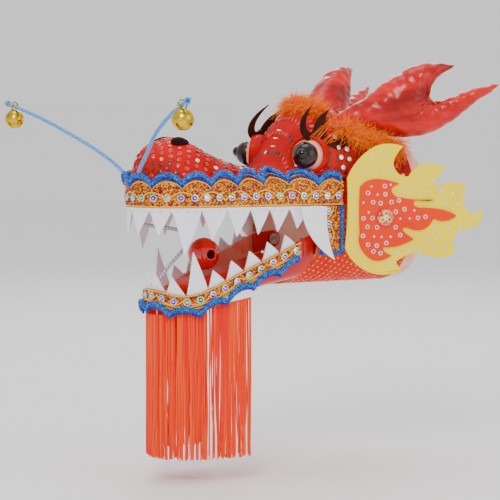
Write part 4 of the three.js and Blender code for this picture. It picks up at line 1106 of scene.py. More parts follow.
# ---------------------------------------------------------------- the head
@dataclass
class HeadCovers:
    """The head's translucent shell, its cloth and the sequins sewn to it."""

    wardrobe: Wardrobe
    sequin_pitch: float = 6.6
    sequin_radius: float = 2.3
    row_step: float = 9.5
    row_lean: float = 26.0
    stations: int = 150
    rows: int = 97
    shell_lifts: tuple[float, float] = (-1.1, -3.1)
    cloth_lifts: tuple[float, float] = (0.0, -0.8)
    random: np.random.Generator = field(default_factory=lambda: np.random.default_rng(11))

    def build(self) -> None:
        """Makes the shell, both cloths and both kinds of sequin."""
        w = self.wardrobe
        cloth_end = HEAD.roof_reach(HEAD.cloth_end)
        shell, cloth = self.shell_lifts, self.cloth_lifts
        self._roof("shell_roof", shell, HEAD.roof_reach(0.0), w.shell, "plastic_shell", "upper_shell")
        self._roof("cloth_roof", cloth, cloth_end, w.snout_cloth, "sequin_cloth", "upper_cover")
        self._trough("shell_cheek", shell, 0.0, w.shell, "plastic_shell", "cheek_shell")
        self._trough("cloth_cheek", cloth, HEAD.cloth_end, w.cheek_cloth, "cheek_cloth", "cheek_cover")
        self._sequins(cloth_end)
        self._eye_dots()
        self._cheek_dots()
        self._hem()

    def _roof(self, name: str, lifts: tuple[float, float], reach: float, finish: bpy.types.Material,
              slot: str, node: str) -> None:
        """One layer of the upper head, between an outer and an inner lift."""
        distance, angle = mesh_grid(spread(self.stations, 0, reach), even_angles(self.rows, HEAD.power))
        sheet = thick_sheet(*(HEAD.roof(distance, angle, lift) for lift in lifts), folded=True)
        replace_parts(MeshPile().add(sheet).build(name, [finish], "head", slot), node)

    def _trough(self, name: str, lifts: tuple[float, float], rear: float, finish: bpy.types.Material,
                slot: str, node: str) -> None:
        """One layer of the cheeks and the chin behind the mouth, between two lifts."""
        along, angle = mesh_grid(spread(50, 0, 1), even_angles(self.rows, HEAD.cheek_power))
        sheet = thick_sheet(*(HEAD.cheek(along, angle, lift, rear) for lift in lifts))
        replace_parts(MeshPile().add(sheet).build(name, [finish], "head", slot), node)

    def _sequins(self, reach: float) -> None:
        """Slanting rows of sequins: dark, red and a few pale ones that are painted glints, all slightly
        tilted.
        """
        angle = spread(600, 0, np.pi)
        rows = np.arange(-self.row_lean, reach - 3, self.row_step)
        places, normals = [], []
        for k, start in enumerate(rows):
            distance = clamp(start + self.row_lean * np.sin(angle), 2.0, reach - 3)
            line, ahead = HEAD.roof(distance, angle, 0.35), HEAD.roof(distance + 0.5, angle, 0.35)
            run = run_along(line)
            at = np.arange((k % 2) * self.sequin_pitch / 2, run[-1], self.sequin_pitch)
            number = np.searchsorted(run, at).clip(1, len(angle) - 2)
            number = number[(distance[number] > 3) & (distance[number] < reach - 4)]
            places.append(line[number])
            normals.append(np.cross(line[number + 1] - line[number - 1], ahead[number] - line[number]))
        places, normals = np.concatenate(places), unit(np.concatenate(normals))
        outward = np.sum(normals * (places - np.array([-150.0, 0.0, 20.0])), axis=1)
        normals = np.where(outward[:, None] < 0, -normals, normals)
        normals = normals + self.random.normal(scale=0.14, size=normals.shape)
        shown = places[:, 2] > 34
        places, normals = places[shown], normals[shown]
        size = self.sequin_radius * self.random.uniform(0.9, 1.1, len(places))
        band = np.sin(places[:, 0] * 0.071 + 1.3 * np.sin(places[:, 2] * 0.09) + places[:, 1] * 0.05)
        draw = self.random.random(len(places))
        # Painted glints: a random twentieth of the sequins take the pale finish, as if flashing white.
        kind = np.where(draw < 0.05, 2, np.where(band + 0.8 * draw > 0.5, 0, 1))
        pile = MeshPile()
        for k in range(3):
            pile.add(stamp(SEQUIN, places[kind == k], normals[kind == k], size[kind == k]), k)
        w = self.wardrobe
        pile.build("snout_sequins", [w.sequin_dark, w.sequin_red, w.sequin_pale], "head", "sequin_cloth")

    def _eye_dots(self) -> None:
        """Large white sequins in a short row before each eye and a double one behind it."""
        spots = np.array([(-150, 66), (-147, 74), (-143, 82), (-98, 76), (-97, 66), (-96, 56), (-95, 46),
                          (-89, 74), (-88, 64), (-87, 54)], float)
        pile = MeshPile()
        for side in Side:
            distance = side.value * HEAD.roof_reach(spots[:, 0])
            places = HEAD.side(distance, spots[:, 1], 0.9)
            normals = unit(HEAD.side(distance, spots[:, 1], 1.9) - places)
            pile.add(stamp(SEQUIN, places, normals, 2.6))
        pile.build("eye_sequins", [self.wardrobe.sequin_pale], "head", "sequin_cloth")

    def _cheek_dots(self) -> None:
        """Small orange sequins over the cheeks."""
        along, angle = mesh_grid(spread(15, 0.04, 0.97), even_angles(44, HEAD.cheek_power)[2:-2])
        angle = angle + (np.arange(15) % 2)[:, None] * 0.035
        low, high = (HEAD.cheek(along, angle, lift, HEAD.cloth_end) for lift in (0.2, 1.2))
        places = low.reshape(-1, 3)
        normals = unit((high - low).reshape(-1, 3)) + self.random.normal(scale=0.12, size=places.shape)
        pile = MeshPile().add(stamp(SEQUIN, places, normals, 1.5))
        pile.build("cheek_sequins", [self.wardrobe.amber], "head", "cheek_cloth")

    def _hem(self) -> None:
        """Frayed threads along the cheeks' front edge."""
        angle = even_angles(420, HEAD.cheek_power)[8:-8]
        front = HEAD.cheek(0 * angle, angle, -0.3, HEAD.cloth_end)
        count = len(front)
        heading = np.tile([-1.0, 0.0, -0.25], (count, 1)) + self.random.normal(scale=0.25, size=(count, 3))
        hairs = tufts(front, heading, self.random.uniform(1.2, 3.4, count), self.random, 4)
        MeshPile().add(rods(hairs, 0.16, 3, reference=(0.2, 0.9, 0.3))).build(
            "cheek_fray", [self.wardrobe.fur], "head", "cheek_cloth")


@dataclass(frozen=True)
class Ornament:
    """Sizes of the trim that both jaws share."""

    wave: float = 28.0
    stone_step: float = 12.6
    stone_radius: float = 2.9
    cord_radius: float = 0.75
    braid_radius: float = 2.8


class Trim:
    """Gold lace band with stones and a scalloped chenille braid, on any surface."""

    def __init__(self, wardrobe: Wardrobe, seed: int, sizes: Ornament = Ornament()) -> None:
        self.wardrobe = wardrobe
        self.sizes = sizes
        self.random = np.random.default_rng(seed)

    def scallop(self, along: Array) -> Array:
        """Height of the scallops from -1 to 1: 2 |sin(pi d / wave)|^0.7 - 1."""
        return 2 * np.abs(np.sin(np.pi * along / self.sizes.wave)) ** 0.7 - 1

    def band(self, surface, reach: tuple[float, float], width: tuple[float, float],
             lifts: tuple[float, float], pile: MeshPile, crest: float = 0.0) -> None:
        """The woven strip itself, slightly quilted.

        Args:
            surface: Function of distance, height and lift that gives points.
            reach: Where it starts and ends along the surface.
            width: Its two edges.
            lifts: Lift of its inner and of its outer face.
            pile: Where the strip is added, as finish 0.
            crest: How far the second edge swells under the scallops.
        """
        along, share = mesh_grid(spread(int(abs(reach[1] - reach[0]) / 1.5) + 2, *reach), spread(9, 0, 1))
        edge = width[1] + crest * (self.scallop(along) + 1) / 2
        across = width[0] + share * (edge - width[0])
        quilt = 0.25 * np.sin(along * 0.9) * np.sin(across * 1.1)
        outer = surface(along, across, lifts[1] - 0.25 + quilt)
        pile.add(thick_sheet(outer, surface(along, across, lifts[0])))

    def cords(self, surface, reach: tuple[float, float], width: tuple[float, float], lift: float,
              pile: MeshPile, crest: float = 0.0) -> None:
        """Four gold cords, as finish 1: one along each edge, one below the scallops and a wavy one."""
        along = spread(int(abs(reach[1] - reach[0]) / 0.9) + 2, *reach)
        middle, half = (width[0] + width[1]) / 2, (width[1] - width[0]) / 2
        radius = self.sizes.cord_radius
        swell = crest * (self.scallop(along) + 1) / 2
        ripple = 0.45 * half * self.scallop(along + self.sizes.wave / 2)
        lines = [(width[0] + 0 * along, 0.0), (width[1] + swell - 0.6, 0.2),
                 (width[1] - 3.4 + 0.9 * swell, 0.4), (middle - 0.1 * half + ripple, 0.7)]
        for across, up in lines:
            pile.add(rods(surface(along, across, lift + up), radius, 6), 1)

    def stones(self, surface, reach: tuple[float, float], width: tuple[float, float], lift: float,
               pile: MeshPile) -> None:
        """A row of set stones among scattered seed beads.

        The stones are finishes 2 to 5, the seed beads 6 to 8, and the settings and small tops 9.
        """
        at = np.arange(reach[0] + 5, reach[1] - 3, self.sizes.stone_step)
        middle = width[0] + 0.42 * (width[1] - width[0])
        places = surface(at, middle + 0 * at, lift)
        normals = unit(surface(at, middle + 0 * at, lift + 1) - places)
        kind = self.random.integers(0, 4, len(at))
        for k in range(4):
            pile.add(stamp(STONE, places[kind == k], normals[kind == k], self.sizes.stone_radius), 2 + k)
        pile.add(stamp(STONE, places + 1.3 * normals, normals, 0.42 * self.sizes.stone_radius), 9)
        setting = revolved([(0.85, -0.1), (1.18, 0.0), (1.2, 0.3), (0.95, 0.34)], 12)
        pile.add(stamp(setting, places, normals, self.sizes.stone_radius), 9)
        count = int(abs(reach[1] - reach[0]) * (width[1] - width[0]) / 15)
        along = self.random.uniform(reach[0], reach[1], count)
        across = self.random.uniform(width[0] + 1, width[1] - 1, count)
        places = surface(along, across, lift)
        normals = unit(surface(along, across, lift + 1) - places)
        kind = self.random.integers(0, 3, count)
        for k in range(3):
            pile.add(stamp(SEED, places[kind == k], normals[kind == k], 1.05), 6 + k)

    def finishes(self) -> list[bpy.types.Material]:
        """Materials of the band, in the order of its finishes."""
        w = self.wardrobe
        return [w.lace, w.gold_thread, *w.gems, *w.seeds, w.clear]

    def braid(self, surface, reach: tuple[float, float], base: float, height: float, lift: float,
              name: str, body: str, node: str) -> None:
        """The scalloped chenille braid: a ribbed rope with short fluff all round it.

        Its height is base + height times the scallop at each distance.

        Args:
            surface: Function of distance, height and lift.
            reach: Where it starts and ends.
            base: Height of the scallops' middle.
            height: Half of their height.
            lift: Lift of the rope's centre.
            name: The piece's name.
            body: The body that it rides on.
            node: The CAD node that it replaces.
        """
        steps = int(abs(reach[1] - reach[0]) * 2.6)
        along = spread(steps, *reach)
        wave = self.scallop(along)
        path = surface(along, base + height * wave, lift)
        rib = 1 + 0.13 * np.sin(np.arange(steps) * 2 * np.pi / 5)
        ribs = self.sizes.braid_radius * rib * (0.86 + 0.14 * wave)
        pile = MeshPile().add(rods(path, ribs, 9), 0)
        edge = surface(along, base + height * wave - 3.4, lift - 1.2)
        pile.add(rods(edge, 0.9, 6), 1)
        for line, radius, finish, many in ((path, 2.4, 0, 6000), (edge, 0.8, 1, 1600)):
            start = line[self.random.integers(0, steps, many)]
            heading = unit(self.random.normal(size=(many, 3)))
            lengths = self.random.uniform(0.7, 1.5, many)
            hairs = tufts(start + radius * heading, heading, lengths, self.random, 3)
            pile.add(rods(hairs, np.array([0.2, 0.17, 0.06])[None], 3, reference=(0.3, 0.2, 0.93)), finish)
        piece = pile.build(name, [self.wardrobe.chenille, self.wardrobe.violet_edge], body, "blue_braid")
        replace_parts(piece, node)


class HeadTrim:
    """The band, braid and corner drops on the upper head."""

    def __init__(self, wardrobe: Wardrobe) -> None:
        self.trim = Trim(wardrobe, 21)

    def build(self) -> None:
        """Makes the mouth band, its braid and both drops."""
        reach = HEAD.roof_reach(-98.0)
        span, width = (-reach, reach), (HEAD.mouth + 0.4, HEAD.mouth + 22.0)
        pile = MeshPile()
        self.trim.band(HEAD.side, span, width, (1.3, 2.9), pile, 8.0)
        self.trim.cords(HEAD.side, span, (width[0] + 0.8, width[1] - 0.8), 3.0, pile, 8.0)
        self.trim.stones(HEAD.side, span, width, 2.9, pile)
        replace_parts(pile.build("mouth_band", self.trim.finishes(), "head", "gold_lace"), "upper_band")
        self.trim.braid(HEAD.side, (3 - reach, reach - 3), HEAD.mouth + 26.5, 4.6, 4.9, "mouth_braid", "head",
                        "upper_braid")
        for side in Side:
            self._drop(side)

    def _drop(self, side: Side) -> None:
        """The strip that drops behind the rear fang, with a blue edge behind and below."""
        top, bottom = HEAD.mouth - 0.8, -38.0
        near, far = HEAD.roof_reach(-124.0), HEAD.roof_reach(-99.0)

        def surface(along: Array, across: Array, lift: Array | float) -> Array:
            """Along runs down the strip and across runs over its width."""
            x, y = HEAD.rim(side.value * across, lift)
            return np.stack(np.broadcast_arrays(x, y, top - along), axis=-1)

        span, width = (0.0, top - bottom), (near, far - 1.5)
        pile = MeshPile()
        self.trim.band(surface, span, width, (0.5, 2.1), pile)
        self.trim.cords(surface, span, (width[0] + 0.8, width[1] - 1.2), 2.2, pile)
        self.trim.stones(surface, span, width, 2.1, pile)
        piece = pile.build(f"corner_drop_{side.label}", self.trim.finishes(), "head", "gold_lace")
        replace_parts(piece, f"cheek_trim_{side.label}")
        down = spread(70, 0, 1)
        across = np.concatenate([far + 0 * down, far - (far - near) * down])
        along = np.concatenate([(top - bottom) * down, top - bottom + 0 * down])
        lines = surface(along, across, 2.6)
        ribs = 1.8 * (1 + 0.15 * np.sin(np.arange(len(lines)) * 2.1))
        hairs = tufts(np.repeat(lines, 8, axis=0), self.trim.random.normal(size=(8 * len(lines), 3)),
                      self.trim.random.uniform(1.8, 2.8, 8 * len(lines)), self.trim.random, 3)
        pile = MeshPile().add(rods(lines, ribs, 8, reference=(0.3, 0.9, 0.3)))
        pile.add(rods(hairs, 0.16, 3, reference=(0.3, 0.2, 0.93)))
        pile.build(f"corner_edge_{side.label}", [self.trim.wardrobe.chenille], "head", "blue_braid")


# ---------------------------------------------------------------- teeth, eyes and nostrils
@dataclass
class ToothRow:
    """A strip of curved foam teeth, each a width and a length, alike on both sides of the middle.

    With t the share of a tooth's width and b its tip's place, a tooth's depth is
    t/b to the power 1.3 before the tip and (1-t)/(1-b) to the power 0.86 behind it.
    """

    teeth: tuple[tuple[float, float], ...]
    tip: float
    step: float = 0.7

    def edge(self) -> tuple[Array, Array]:
        """Distances from the middle and the depth at each."""
        widths, lengths = np.array(self.teeth, dtype=float).T
        starts = np.concatenate([[0], np.cumsum(widths)])
        distance = np.unique(np.concatenate([np.arange(0, starts[-1], self.step), starts,
                                             starts[:-1] + self.tip * widths]))
        which = np.clip(np.searchsorted(starts, distance, side="right") - 1, 0, len(widths) - 1)
        t = clamp((distance - starts[which]) / widths[which])
        rise = (t / self.tip) ** 1.3
        fall = ((1 - t) / (1 - self.tip)) ** 0.86
        share = 0.08 + 0.92 * np.minimum(np.minimum(rise, fall), 0.985)
        depth = np.maximum(2.0, lengths[which] * share)
        return (np.concatenate([-distance[:0:-1], distance]), np.concatenate([depth[:0:-1], depth]))

    def strip(self, surface, root: float, outside: float, inside: float, keep: float = 1e9) -> Patch:
        """The strip from its root to the edge.

        Args:
            surface: Function of distance, drop and lift.
            root: Drop of the row's root.
            outside: Lift of the outer face.
            inside: Lift of the inner face.
            keep: Greatest distance from the middle.

        Returns:
            The closed strip.
        """
        distance, depth = self.edge()
        kept = np.abs(distance) <= keep
        distance, depth = distance[kept][:, None], depth[kept][:, None]
        across = np.concatenate([spread(7, 0, 0.98), [1.0]])[None]
        soft = np.where(across > 0.99, 0.35, 0.0)
        drop = root + depth * across
        along = distance + 0 * across
        return thick_sheet(surface(along, drop, outside - soft), surface(along, drop, inside + soft))


class Teeth:
    """The upper and lower rows of teeth and the two fangs at the mouth's corners."""

    UPPER = ToothRow(((24, 26), (22, 27), (28, 46), (26, 32), (24, 29), (20, 27), (20.6, 25), (21, 22)), 0.42)
    LOWER = ToothRow(((22, 20), (22, 21), (22, 46), *[(19, 20)] * 4, (18, 18)), 0.3)

    def __init__(self, wardrobe: Wardrobe) -> None:
        self.wardrobe = wardrobe

    def build(self) -> None:
        """Makes both rows and the corner fangs."""
        foam = [self.wardrobe.foam, self.wardrobe.thread]
        pile = MeshPile().add(self.UPPER.strip(self._below_head, 0.2, 2.9, 0.9, HEAD.roof_reach(-125.0)))
        pile.add(self._stitches(self._below_head, 3.4, 3.1, HEAD.roof_reach(-135.0)), 1)
        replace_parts(pile.build("upper_teeth_foam", foam, "head", "white_foam"), "upper_teeth")
        pile = MeshPile().add(self.LOWER.strip(self._above_jaw, -4.0, -0.8, -2.8))
        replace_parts(pile.build("lower_teeth_foam", foam, "jaw", "white_foam"), "lower_teeth")
        fang = curved((-147, 8), [(-132, 10, -117, 8), (-120, -18, -108, -45), (-142, -26, -147, 8)], 24)
        for side in Side:
            near = side.value * (HEAD.width_at(-112.0) + 3.4)
            pile = MeshPile().add(plate(fang, near + 2 * side.value, near, 0.4))
            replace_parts(pile.build(f"corner_fang_{side.label}", foam, "head", "white_foam"),
                        f"rear_fang_{side.label}")

    @staticmethod
    def _below_head(distance: Array, drop: Array, lift: Array | float) -> Array:
        """Points under the head's mouth line."""
        x, y = HEAD.rim(distance, lift)
        return np.stack(np.broadcast_arrays(x, y, HEAD.mouth - drop), axis=-1)

    @staticmethod
    def _above_jaw(distance: Array, drop: Array, lift: Array | float) -> Array:
        """Points above the jaw's rim, where a negative root starts inside the band."""
        return JAW.side(distance, -drop, lift)

    @staticmethod
    def _stitches(surface, drop: float, lift: float, reach: float) -> Patch:
        """Short level stitches that hold the row on."""
        middle = np.arange(6 - reach, reach - 5, 8.0)
        share = np.array([-2.0, -1.8, 0.0, 1.8, 2.0])[None]
        arcs = np.array([-0.5, 0.15, 0.35, 0.15, -0.5])[None]
        return rods(surface(middle[:, None] + share, drop + 0 * share, lift + arcs), 0.35, 5)


@dataclass
class Eyes:
    """Bulging eyes: a pearly ball, a dark dome with a smaller one on it, and a cloth lid."""

    wardrobe: Wardrobe
    centre: tuple[float, float, float] = (-125.0, 48.0, 58.0)
    facing: tuple[float, float, float] = (-0.74, 0.67, 0.05)
    radius: float = 17.5

    def build(self) -> None:
        """Makes both eyes."""
        for side in Side:
            self._eye(side)

    def _eye(self, side: Side) -> None:
        """One eye, as four pieces."""
        flip = np.array([1.0, side.value, 1.0])
        axis = unit(np.array(self.facing) * flip)
        centre = np.array(self.centre) * flip
        w, label = self.wardrobe, side.label
        white = MeshPile().add(ball(centre, self.radius, axis, 64))
        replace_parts(white.build(f"eye_ball_{label}", [w.eye], "head", "eye_white"), f"eyeball_{label}")
        dome = centre + (self.radius - 4) * axis
        dark = MeshPile().add(ball(dome, 12.5, axis, 64, 0, 118))
        seat = revolved([(11.9, 0.0), (12.9, 0.0), (13.1, 0.7), (12.2, 1.0)], 48)
        dark.add(stand(seat, centre + 14.1 * axis, axis), 1)
        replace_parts(dark.build(f"eye_dome_{label}", [w.dark_eye, w.iris_edge], "head", "eye_black"),
                    f"iris_{label}")
        pupil = centre + (self.radius + 6.4) * axis + [0, 0, 1]
        spot = MeshPile().add(ball(pupil, 5.5, axis, 40, 0, 120))
        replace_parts(spot.build(f"eye_pupil_{label}", [w.black_eye], "head", "eye_black"), f"pupil_{label}")
        lid = MeshPile().add(ball(centre, 20.1, axis, 64, 67, 140, 2.2))
        turn = spread(73, 0, 2 * np.pi)[:, None]
        lid.add(rods(circle(centre + 7.6 * axis, 18.3, axis, turn), 1.1, 8, reference=tuple(axis)))
        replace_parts(lid.build(f"eye_lid_{label}", [w.lid], "head", "eyelid_cloth"), f"eyelid_{label}")


@dataclass
class Nostrils:
    """Oval felt pads with a rolled edge."""

    wardrobe: Wardrobe
    centre: tuple[float, float] = (-255.0, 20.0)
    half: tuple[float, float] = (8.5, 5.5)

    def build(self) -> None:
        """Makes both pads, domed by 1.1 sqrt(1.02 - r^2) and rolled at the edge."""
        radius, turn = mesh_grid(spread(12, 0, 1), spread(49, 0, 2 * np.pi)[:-1])
        for side in Side:
            x = self.centre[0] + self.half[0] * radius * np.cos(turn)
            y = side.value * (self.centre[1] + self.half[1] * radius * np.sin(turn))
            skin = HEAD.skin(x, y)
            top = np.stack([x, y, skin + 1.3 + 1.1 * np.sqrt(1.02 - radius ** 2)], axis=-1)
            low = np.stack([x, y, skin + 0.9], axis=-1)
            count = radius.size
            faces = grid_faces(*radius.shape, wrap_columns=True)
            rim = np.arange(count - radius.shape[1], count)
            wall = np.stack([rim, np.roll(rim, -1), np.roll(rim, -1) + count, rim + count], axis=-1)
            pad = Patch(np.concatenate([top.reshape(-1, 3), low.reshape(-1, 3)]),
                        [faces, faces[:, ::-1] + count, wall[:, ::-1]])
            edge = turn[0][None]
            roll_x = self.centre[0] + self.half[0] * np.cos(edge)
            roll_y = side.value * (self.centre[1] + self.half[1] * np.sin(edge))
            roll = np.stack([roll_x, roll_y, HEAD.skin(roll_x, roll_y) + 1.2], axis=-1)[0]
            pile = MeshPile().add(pad).add(rods(np.vstack([roll, roll[:2]]), 0.9, 8))
            piece = pile.build(f"nostril_pad_{side.label}", [self.wardrobe.nostril], "head", "brown_felt")
            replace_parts(piece, f"nostril_{side.label}")


# ---------------------------------------------------------------- horns, brows and fur
@dataclass(frozen=True)
class Prong:
    """A prong of a horn: stations of along, up, half height and half thickness."""

    stations: tuple

    def shape(self, horn: "Horns", side: Side) -> Patch:
        """Elliptic rings on smooth lines through the stations, all facing the horn's way."""
        along, up, high, deep = smooth_path(self.stations, 40).T
        centre = np.array(horn.centre) + along[:, None] * np.array([*horn.along, 0.0])
        centre = centre + up[:, None] * [0, 0, 1]
        facing = unit(np.array(horn.facing, dtype=float))
        across = unit(np.cross(np.gradient(centre, axis=0), facing))
        turn = whole_turn(24)[None, :, None]
        points = (centre[:, None] + high[:, None, None] * np.cos(turn) * across[:, None]
                  + deep[:, None, None] * np.sin(turn) * facing)
        points[..., 1] *= -side.value
        return capped(points)


@dataclass
class Horns:
    """Stuffed satin horns with two prongs each, blown up as cloth so that they pucker."""

    wardrobe: Wardrobe
    centre: tuple[float, float, float] = (-20.0, -72.0, 108.0)
    along: tuple[float, float] = (0.866, -0.5)
    facing: tuple[float, float, float] = (0.5, 0.866, 0.0)
    crotch: tuple[float, float] = (18.0, 8.0)
    cloth_frames: int = 16
    cloth_limit: float = 5 * MM
    upper: Prong = Prong((
        (-78, -24, 6, 6), (-64, -17, 12, 10), (-48, -12, 17, 13), (-33, -7, 21, 15), (-16, 0, 26, 17),
        (-2, 13, 22.5, 16), (8, 25, 16.5, 13), (21, 33, 9.3, 8.6), (33, 37, 4.6, 4.6), (43, 39.5, 1.8, 1.8)))
    lower: Prong = Prong((
        (-40, -14, 11, 9), (-22, -12, 19, 15), (0, -14, 18, 15), (18, -12, 15.5, 13), (38, -4, 11.5, 10),
        (58, 7, 7.5, 7.5), (74, 13, 4.8, 4.8), (86, 17.5, 1.8, 1.8)))

    def build(self) -> None:
        """Makes both horns."""
        for side in Side:
            self._horn(side)

    def _horn(self, side: Side) -> None:
        """One horn: both prongs joined, inflated and smoothed."""
        pile = MeshPile()
        for prong in (self.upper, self.lower):
            pile.add(prong.shape(self, side))
        piece = pile.build(f"horn_{side.label}_satin", [self.wardrobe.satin], "head", "red_satin")
        remesh = piece.modifiers.new("skin", "REMESH")
        remesh.mode, remesh.voxel_size = "VOXEL", 3.6 * MM
        smooth = piece.modifiers.new("ease", "SMOOTH")
        smooth.factor, smooth.iterations = 0.5, 4
        bake(piece)
        self._inflate(piece)
        divide = piece.modifiers.new("fine", "SUBSURF")
        divide.levels = divide.render_levels = 1
        bake(piece)
        self._pucker(piece, side)
        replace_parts(piece, f"horn_{side.label}")

    def _inflate(self, piece: bpy.types.Object) -> None:
        """Blows the piece up as cloth and keeps each point within a limit of where it was."""
        rest = mesh_points(piece)
        cloth = piece.modifiers.new("satin", "CLOTH").settings
        cloth.use_pressure = True
        cloth.uniform_pressure_force = 4.0
        cloth.shrink_min = -0.06
        cloth.tension_stiffness = cloth.compression_stiffness = 12.0
        cloth.bending_stiffness = 0.08
        cloth.effector_weights.gravity = 0.0
        scene = bpy.context.scene
        scene.frame_start, scene.frame_end = 1, self.cloth_frames
        for frame in range(1, self.cloth_frames + 1):
            scene.frame_set(frame)
        bake(piece)
        scene.frame_set(1)
        moved = mesh_points(piece) - rest
        length = np.linalg.norm(moved, axis=1, keepdims=True)
        set_points(piece, rest + moved * np.minimum(1.0, self.cloth_limit / np.maximum(length, 1e-9)))

    def _pucker(self, piece: bpy.types.Object, side: Side) -> None:
        """Creases that fan out from the crotch and fade with distance.

        A point moves along its normal by about 0.9 mm sin(13 a) e^(-d/26), for its angle a and
        distance d, and by up to 0.35 mm in a slow wave all over.
        """
        points = mesh_points(piece) / MM
        normals = np.zeros(len(points) * 3, np.float32)
        piece.data.vertices.foreach_get("normal", normals)
        along = (points[:, 0] - self.centre[0]) * self.along[0] + (
            -points[:, 1] * side.value - self.centre[1]) * self.along[1]
        up = points[:, 2] - self.centre[2]
        ahead, above = along - self.crotch[0], up - self.crotch[1]
        gap, angle = np.hypot(ahead, above), np.arctan2(above, ahead)
        fold = 0.9 * np.sin(13 * angle + 0.12 * gap) * np.exp(-gap / 26) * clamp(gap / 6)
        fold += 0.35 * np.sin(0.42 * along + 0.2 * up) * np.sin(0.31 * up + 1)
        set_points(piece, (points + fold[:, None] * normals.reshape(-1, 3)) * MM)


def mesh_points(piece: bpy.types.Object) -> Array:
    """The mesh points of a piece."""
    points = np.zeros(len(piece.data.vertices) * 3, np.float32)
    piece.data.vertices.foreach_get("co", points)
    return points.reshape(-1, 3).astype(float)


def set_points(piece: bpy.types.Object, points: Array) -> None:
    """Moves the mesh points of a piece."""
    piece.data.vertices.foreach_set("co", points.astype(np.float32).ravel())
    piece.data.update()


def bake(piece: bpy.types.Object) -> None:
    """Turns a piece's modifiers into its mesh."""
    bpy.context.view_layer.update()
    graph = bpy.context.evaluated_depsgraph_get()
    mesh = bpy.data.meshes.new_from_object(piece.evaluated_get(graph), preserve_all_data_layers=True,
                                           depsgraph=graph)
    mesh.polygons.foreach_set("use_smooth", np.ones(len(mesh.polygons), bool))
    finishes = [] if mesh.materials else list(piece.data.materials)
    for finish in finishes:
        mesh.materials.append(finish)
    piece.modifiers.clear()
    piece.data = mesh


@dataclass
class Brows:
    """Curled felt brows with orange wisps across them."""

    wardrobe: Wardrobe
    lean: float = -0.32
    place: tuple[float, float, float] = (-118.0, -59.0, 64.0)
    random: np.random.Generator = field(default_factory=lambda: np.random.default_rng(5))

    def build(self) -> None:
        """Makes both brows: a leaning plate and long hairs that cross it."""
        outline = curved((0, 47), [
            (-14, 39, -19, 27), (-22, 16, -14, 10), (-6, 3, 4, 9), (14, 2, 20, 0), (30, 1, 34, 10),
            (39, 20, 38, 30), (34, 20, 27, 15), (20, 8, 13, 12), (2, 22, 18, 42), (2, 36, -4, 23),
            (-9, 14, -12, 21), (-15, 31, 0, 47)])
        for side in Side:
            felt = plate(outline, 0.0, 2.0, 0.5)
            felt.points = self._lean(felt.points, side)
            count = 26
            roots = np.stack([self.random.uniform(-12, 16, count), self.random.uniform(-0.6, 0.2, count),
                              self.random.uniform(2, 14, count)], axis=-1)
            heading = np.stack([self.random.normal(0.8, 0.12, count), self.random.uniform(-0.2, 0, count),
                                self.random.uniform(0.45, 0.8, count)], axis=-1)
            hairs = tufts(roots, heading, self.random.uniform(20, 36, count), self.random, 8, 0.12)
            wisps = rods(hairs, np.linspace(0.24, 0.06, 8)[None], 4, reference=(0.2, 0.95, 0.1))
            wisps.points = self._lean(wisps.points, side)
            piece = MeshPile().add(felt).add(wisps, 1).build(
                f"brow_felt_{side.label}", [self.wardrobe.felt, self.wardrobe.wisp], "head", "brown_felt")
            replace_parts(piece, f"brow_{side.label}")

    def _lean(self, points: Array, side: Side) -> Array:
        """Leans a brow's points about X and puts them on their side of the head."""
        cosine, sine = math.cos(self.lean), math.sin(self.lean)
        x, y, z = points.T
        return np.stack([x + self.place[0], -side.value * (y * cosine - z * sine + self.place[1]),
                         y * sine + z * cosine + self.place[2]], axis=-1)


@dataclass
class Fur:
    """Tufts of orange fur over the forehead and along the horns' roots."""

    wardrobe: Wardrobe
    random: np.random.Generator = field(default_factory=lambda: np.random.default_rng(3))

    def build(self) -> None:
        """Makes the crest and both side tufts."""
        crest = smooth_path([(-99, -36, 96), (-103, -26, 104), (-106, -9, 107), (-106, 9, 107),
                             (-103, 26, 104), (-99, 36, 96)], 40)
        self._tuft("forehead_tuft", "forehead_fur", crest, 6.0, 1900, (-0.55, 0.0, 0.75), 11.0)
        for side in Side:
            line = smooth_path([(-92, -52, 84), (-78, -58, 78), (-62, -62, 72), (-46, -65, 67),
                                (-32, -67, 63)], 40)
            line[:, 1] *= -side.value
            self._tuft(f"horn_tuft_{side.label}", f"horn_fur_{side.label}", line, 4.0, 1900,
                       (0.35, 0.75 * side.value, 0.45), 14.0)

    def _tuft(self, name: str, node: str, line: Array, core: float, count: int, heading: tuple,
              length: float) -> None:
        """A core rope with hairs that leave it mostly one way."""
        taper = core * np.clip(np.minimum(spread(len(line), 0, 6), spread(len(line), 6, 0)), 0.3, 1)
        pile = MeshPile().add(rods(line, taper, 12, reference=(0.3, 0.2, 0.9)))
        start = line[self.random.integers(0, len(line), count)]
        away = unit(self.random.normal(size=(count, 3)) + 1.1 * np.array(heading))
        hairs = tufts(start + 0.7 * core * away, away + self.random.normal(scale=0.25, size=(count, 3)),
                      self.random.uniform(0.5, 1.25, count) * length, self.random, 7, 0.4, 0.25)
        pile.add(rods(hairs, np.linspace(0.36, 0.07, 7)[None], 4, reference=(0.2, 0.3, 0.93)))
        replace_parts(pile.build(name, [self.wardrobe.fur], "head", "fur"), node)


